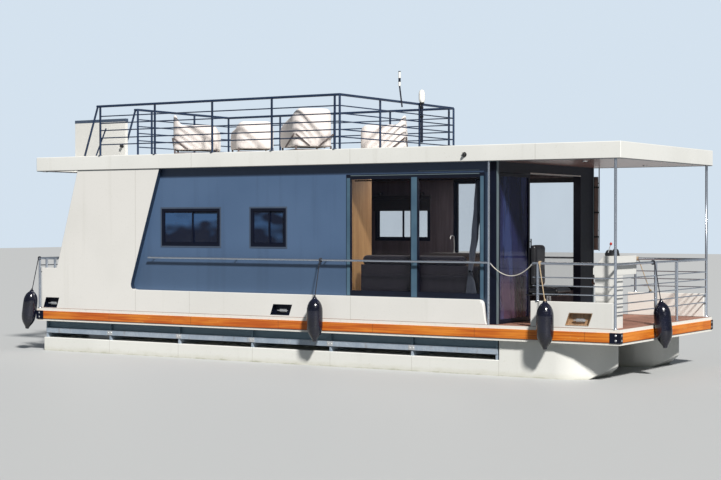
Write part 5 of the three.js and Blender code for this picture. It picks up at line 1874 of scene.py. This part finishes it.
def makeMotorTrim(m):
    seam, back = m["seam"], m["cowlBack"]
    bm = bmesh.new()
    rings = []
    for height, push in m["band"]:
        spots = [Vector((x, y, 0)) for x, y in m["outline"]]
        pushed = [spot + (spot - Vector(m["middle"])).normalized() * push for spot in spots]
        rings.append([bm.verts.new((spot.x, spot.y, seam + height)) for spot in pushed])
    addSkin(bm, rings)
    place("cowl_seam", bm, "black", "motor", smooth=30)
    bm = bmesh.new()
    addBox(bm, (back - 0.012, -0.030, seam - 0.02), (back - 0.0004, 0.030, seam + 0.045), 0.004)
    for x, y in m["bolts"]:
        addBolt(bm, (x, y, m["plateTop"]), (0, 0, 1), 0.007, 0.004)
    place("cowl_latch", bm, "bright", "motor")


makeMotorTrim(motorTrim)

# propeller: three cupped blades on a hub
screw = {
    "centre": (-4.995, 0.0, 0.230),
    "blades": 3,
    "root": 0.030,
    "tip": 0.137,
    "chord": 0.082,
    "thick": 0.0035,
    "cup": 0.012,
    "pitch": (58, 28),  # degrees at the root, how much less at the tip
    "steps": 9,
    "hub": [(0, -0.035), (0.020, -0.035), (0.022, -0.030), (0.030, -0.028), (0.034, -0.020), (0.034, 0.032),
            (0.031, 0.034), (0, 0.034)],
}


def bladePoint(share, part, skin, s):  # share of the way out, and of the way across, -1 to 1
    reach = s["root"] + (s["tip"] - s["root"]) * share
    rounding = math.sqrt(max(0.0, 1.0 - max(0.0, share - 0.25) ** 2.2 * 1.55))
    chord = s["chord"] * (0.62 + 0.76 * share) * rounding
    along = part / 2 * max(chord, 0.004)
    pitch = math.radians(s["pitch"][0] - s["pitch"][1] * share)
    thick = s["thick"] * (1 - part ** 2) * (1.0 - 0.5 * share) * skin
    angle = along * math.cos(pitch) / reach
    depth = along * math.sin(pitch) * 0.62 + s["cup"] * part ** 2 * share + thick
    return Vector((depth, reach * math.sin(angle), reach * math.cos(angle)))


def makeScrew(s):
    steps = range(s["steps"] + 1)
    bm = bmesh.new()
    for blade in range(s["blades"]):
        turn = Matrix.Translation(s["centre"]) @ Matrix.Rotation(math.tau * blade / s["blades"], 4, "X")
        near, far = ([[bm.verts.new(turn @ bladePoint(i / s["steps"], 2 * j / s["steps"] - 1, skin, s))
                       for j in steps] for i in steps] for skin in (-1, 1))
        addSkin(bm, near, closed=False)
        addSkin(bm, far, closed=False)
        for end in (0, -1):
            addSkin(bm, [[row[end] for row in near], [row[end] for row in far]], closed=False)
            addSkin(bm, [near[end], far[end]], closed=False)
    bmesh.ops.remove_doubles(bm, verts=bm.verts, dist=2e-5)
    addTurned(bm, s["hub"], s["centre"], (1, 0, 0), 30)
    place("propeller_screw", bm, "cast", "propeller", replaces=("propeller",), smooth=50)


makeScrew(screw)
print("motor dressed")

# eased edges on the big mouldings, in metres; the rails are only merged and smoothed
easing = {
    "roof": 0.010, "fairing_starboard": 0.008, "fairing_port": 0.008, "fore_bulwark_starboard": 0.008,
    "fore_bulwark_port": 0.008, "hatch_lid": 0.004, "helm_console": 0.010, "pontoon_starboard": 0.012,
    "pontoon_port": 0.012,
}
for nodeName, soft in easing.items():
    softened(nodeName, soft)
for nodeName in dressing["navy"] + dressing["steel"]:
    if nodeName != "stair":
        softened(nodeName, smooth=50)
print("edges eased")
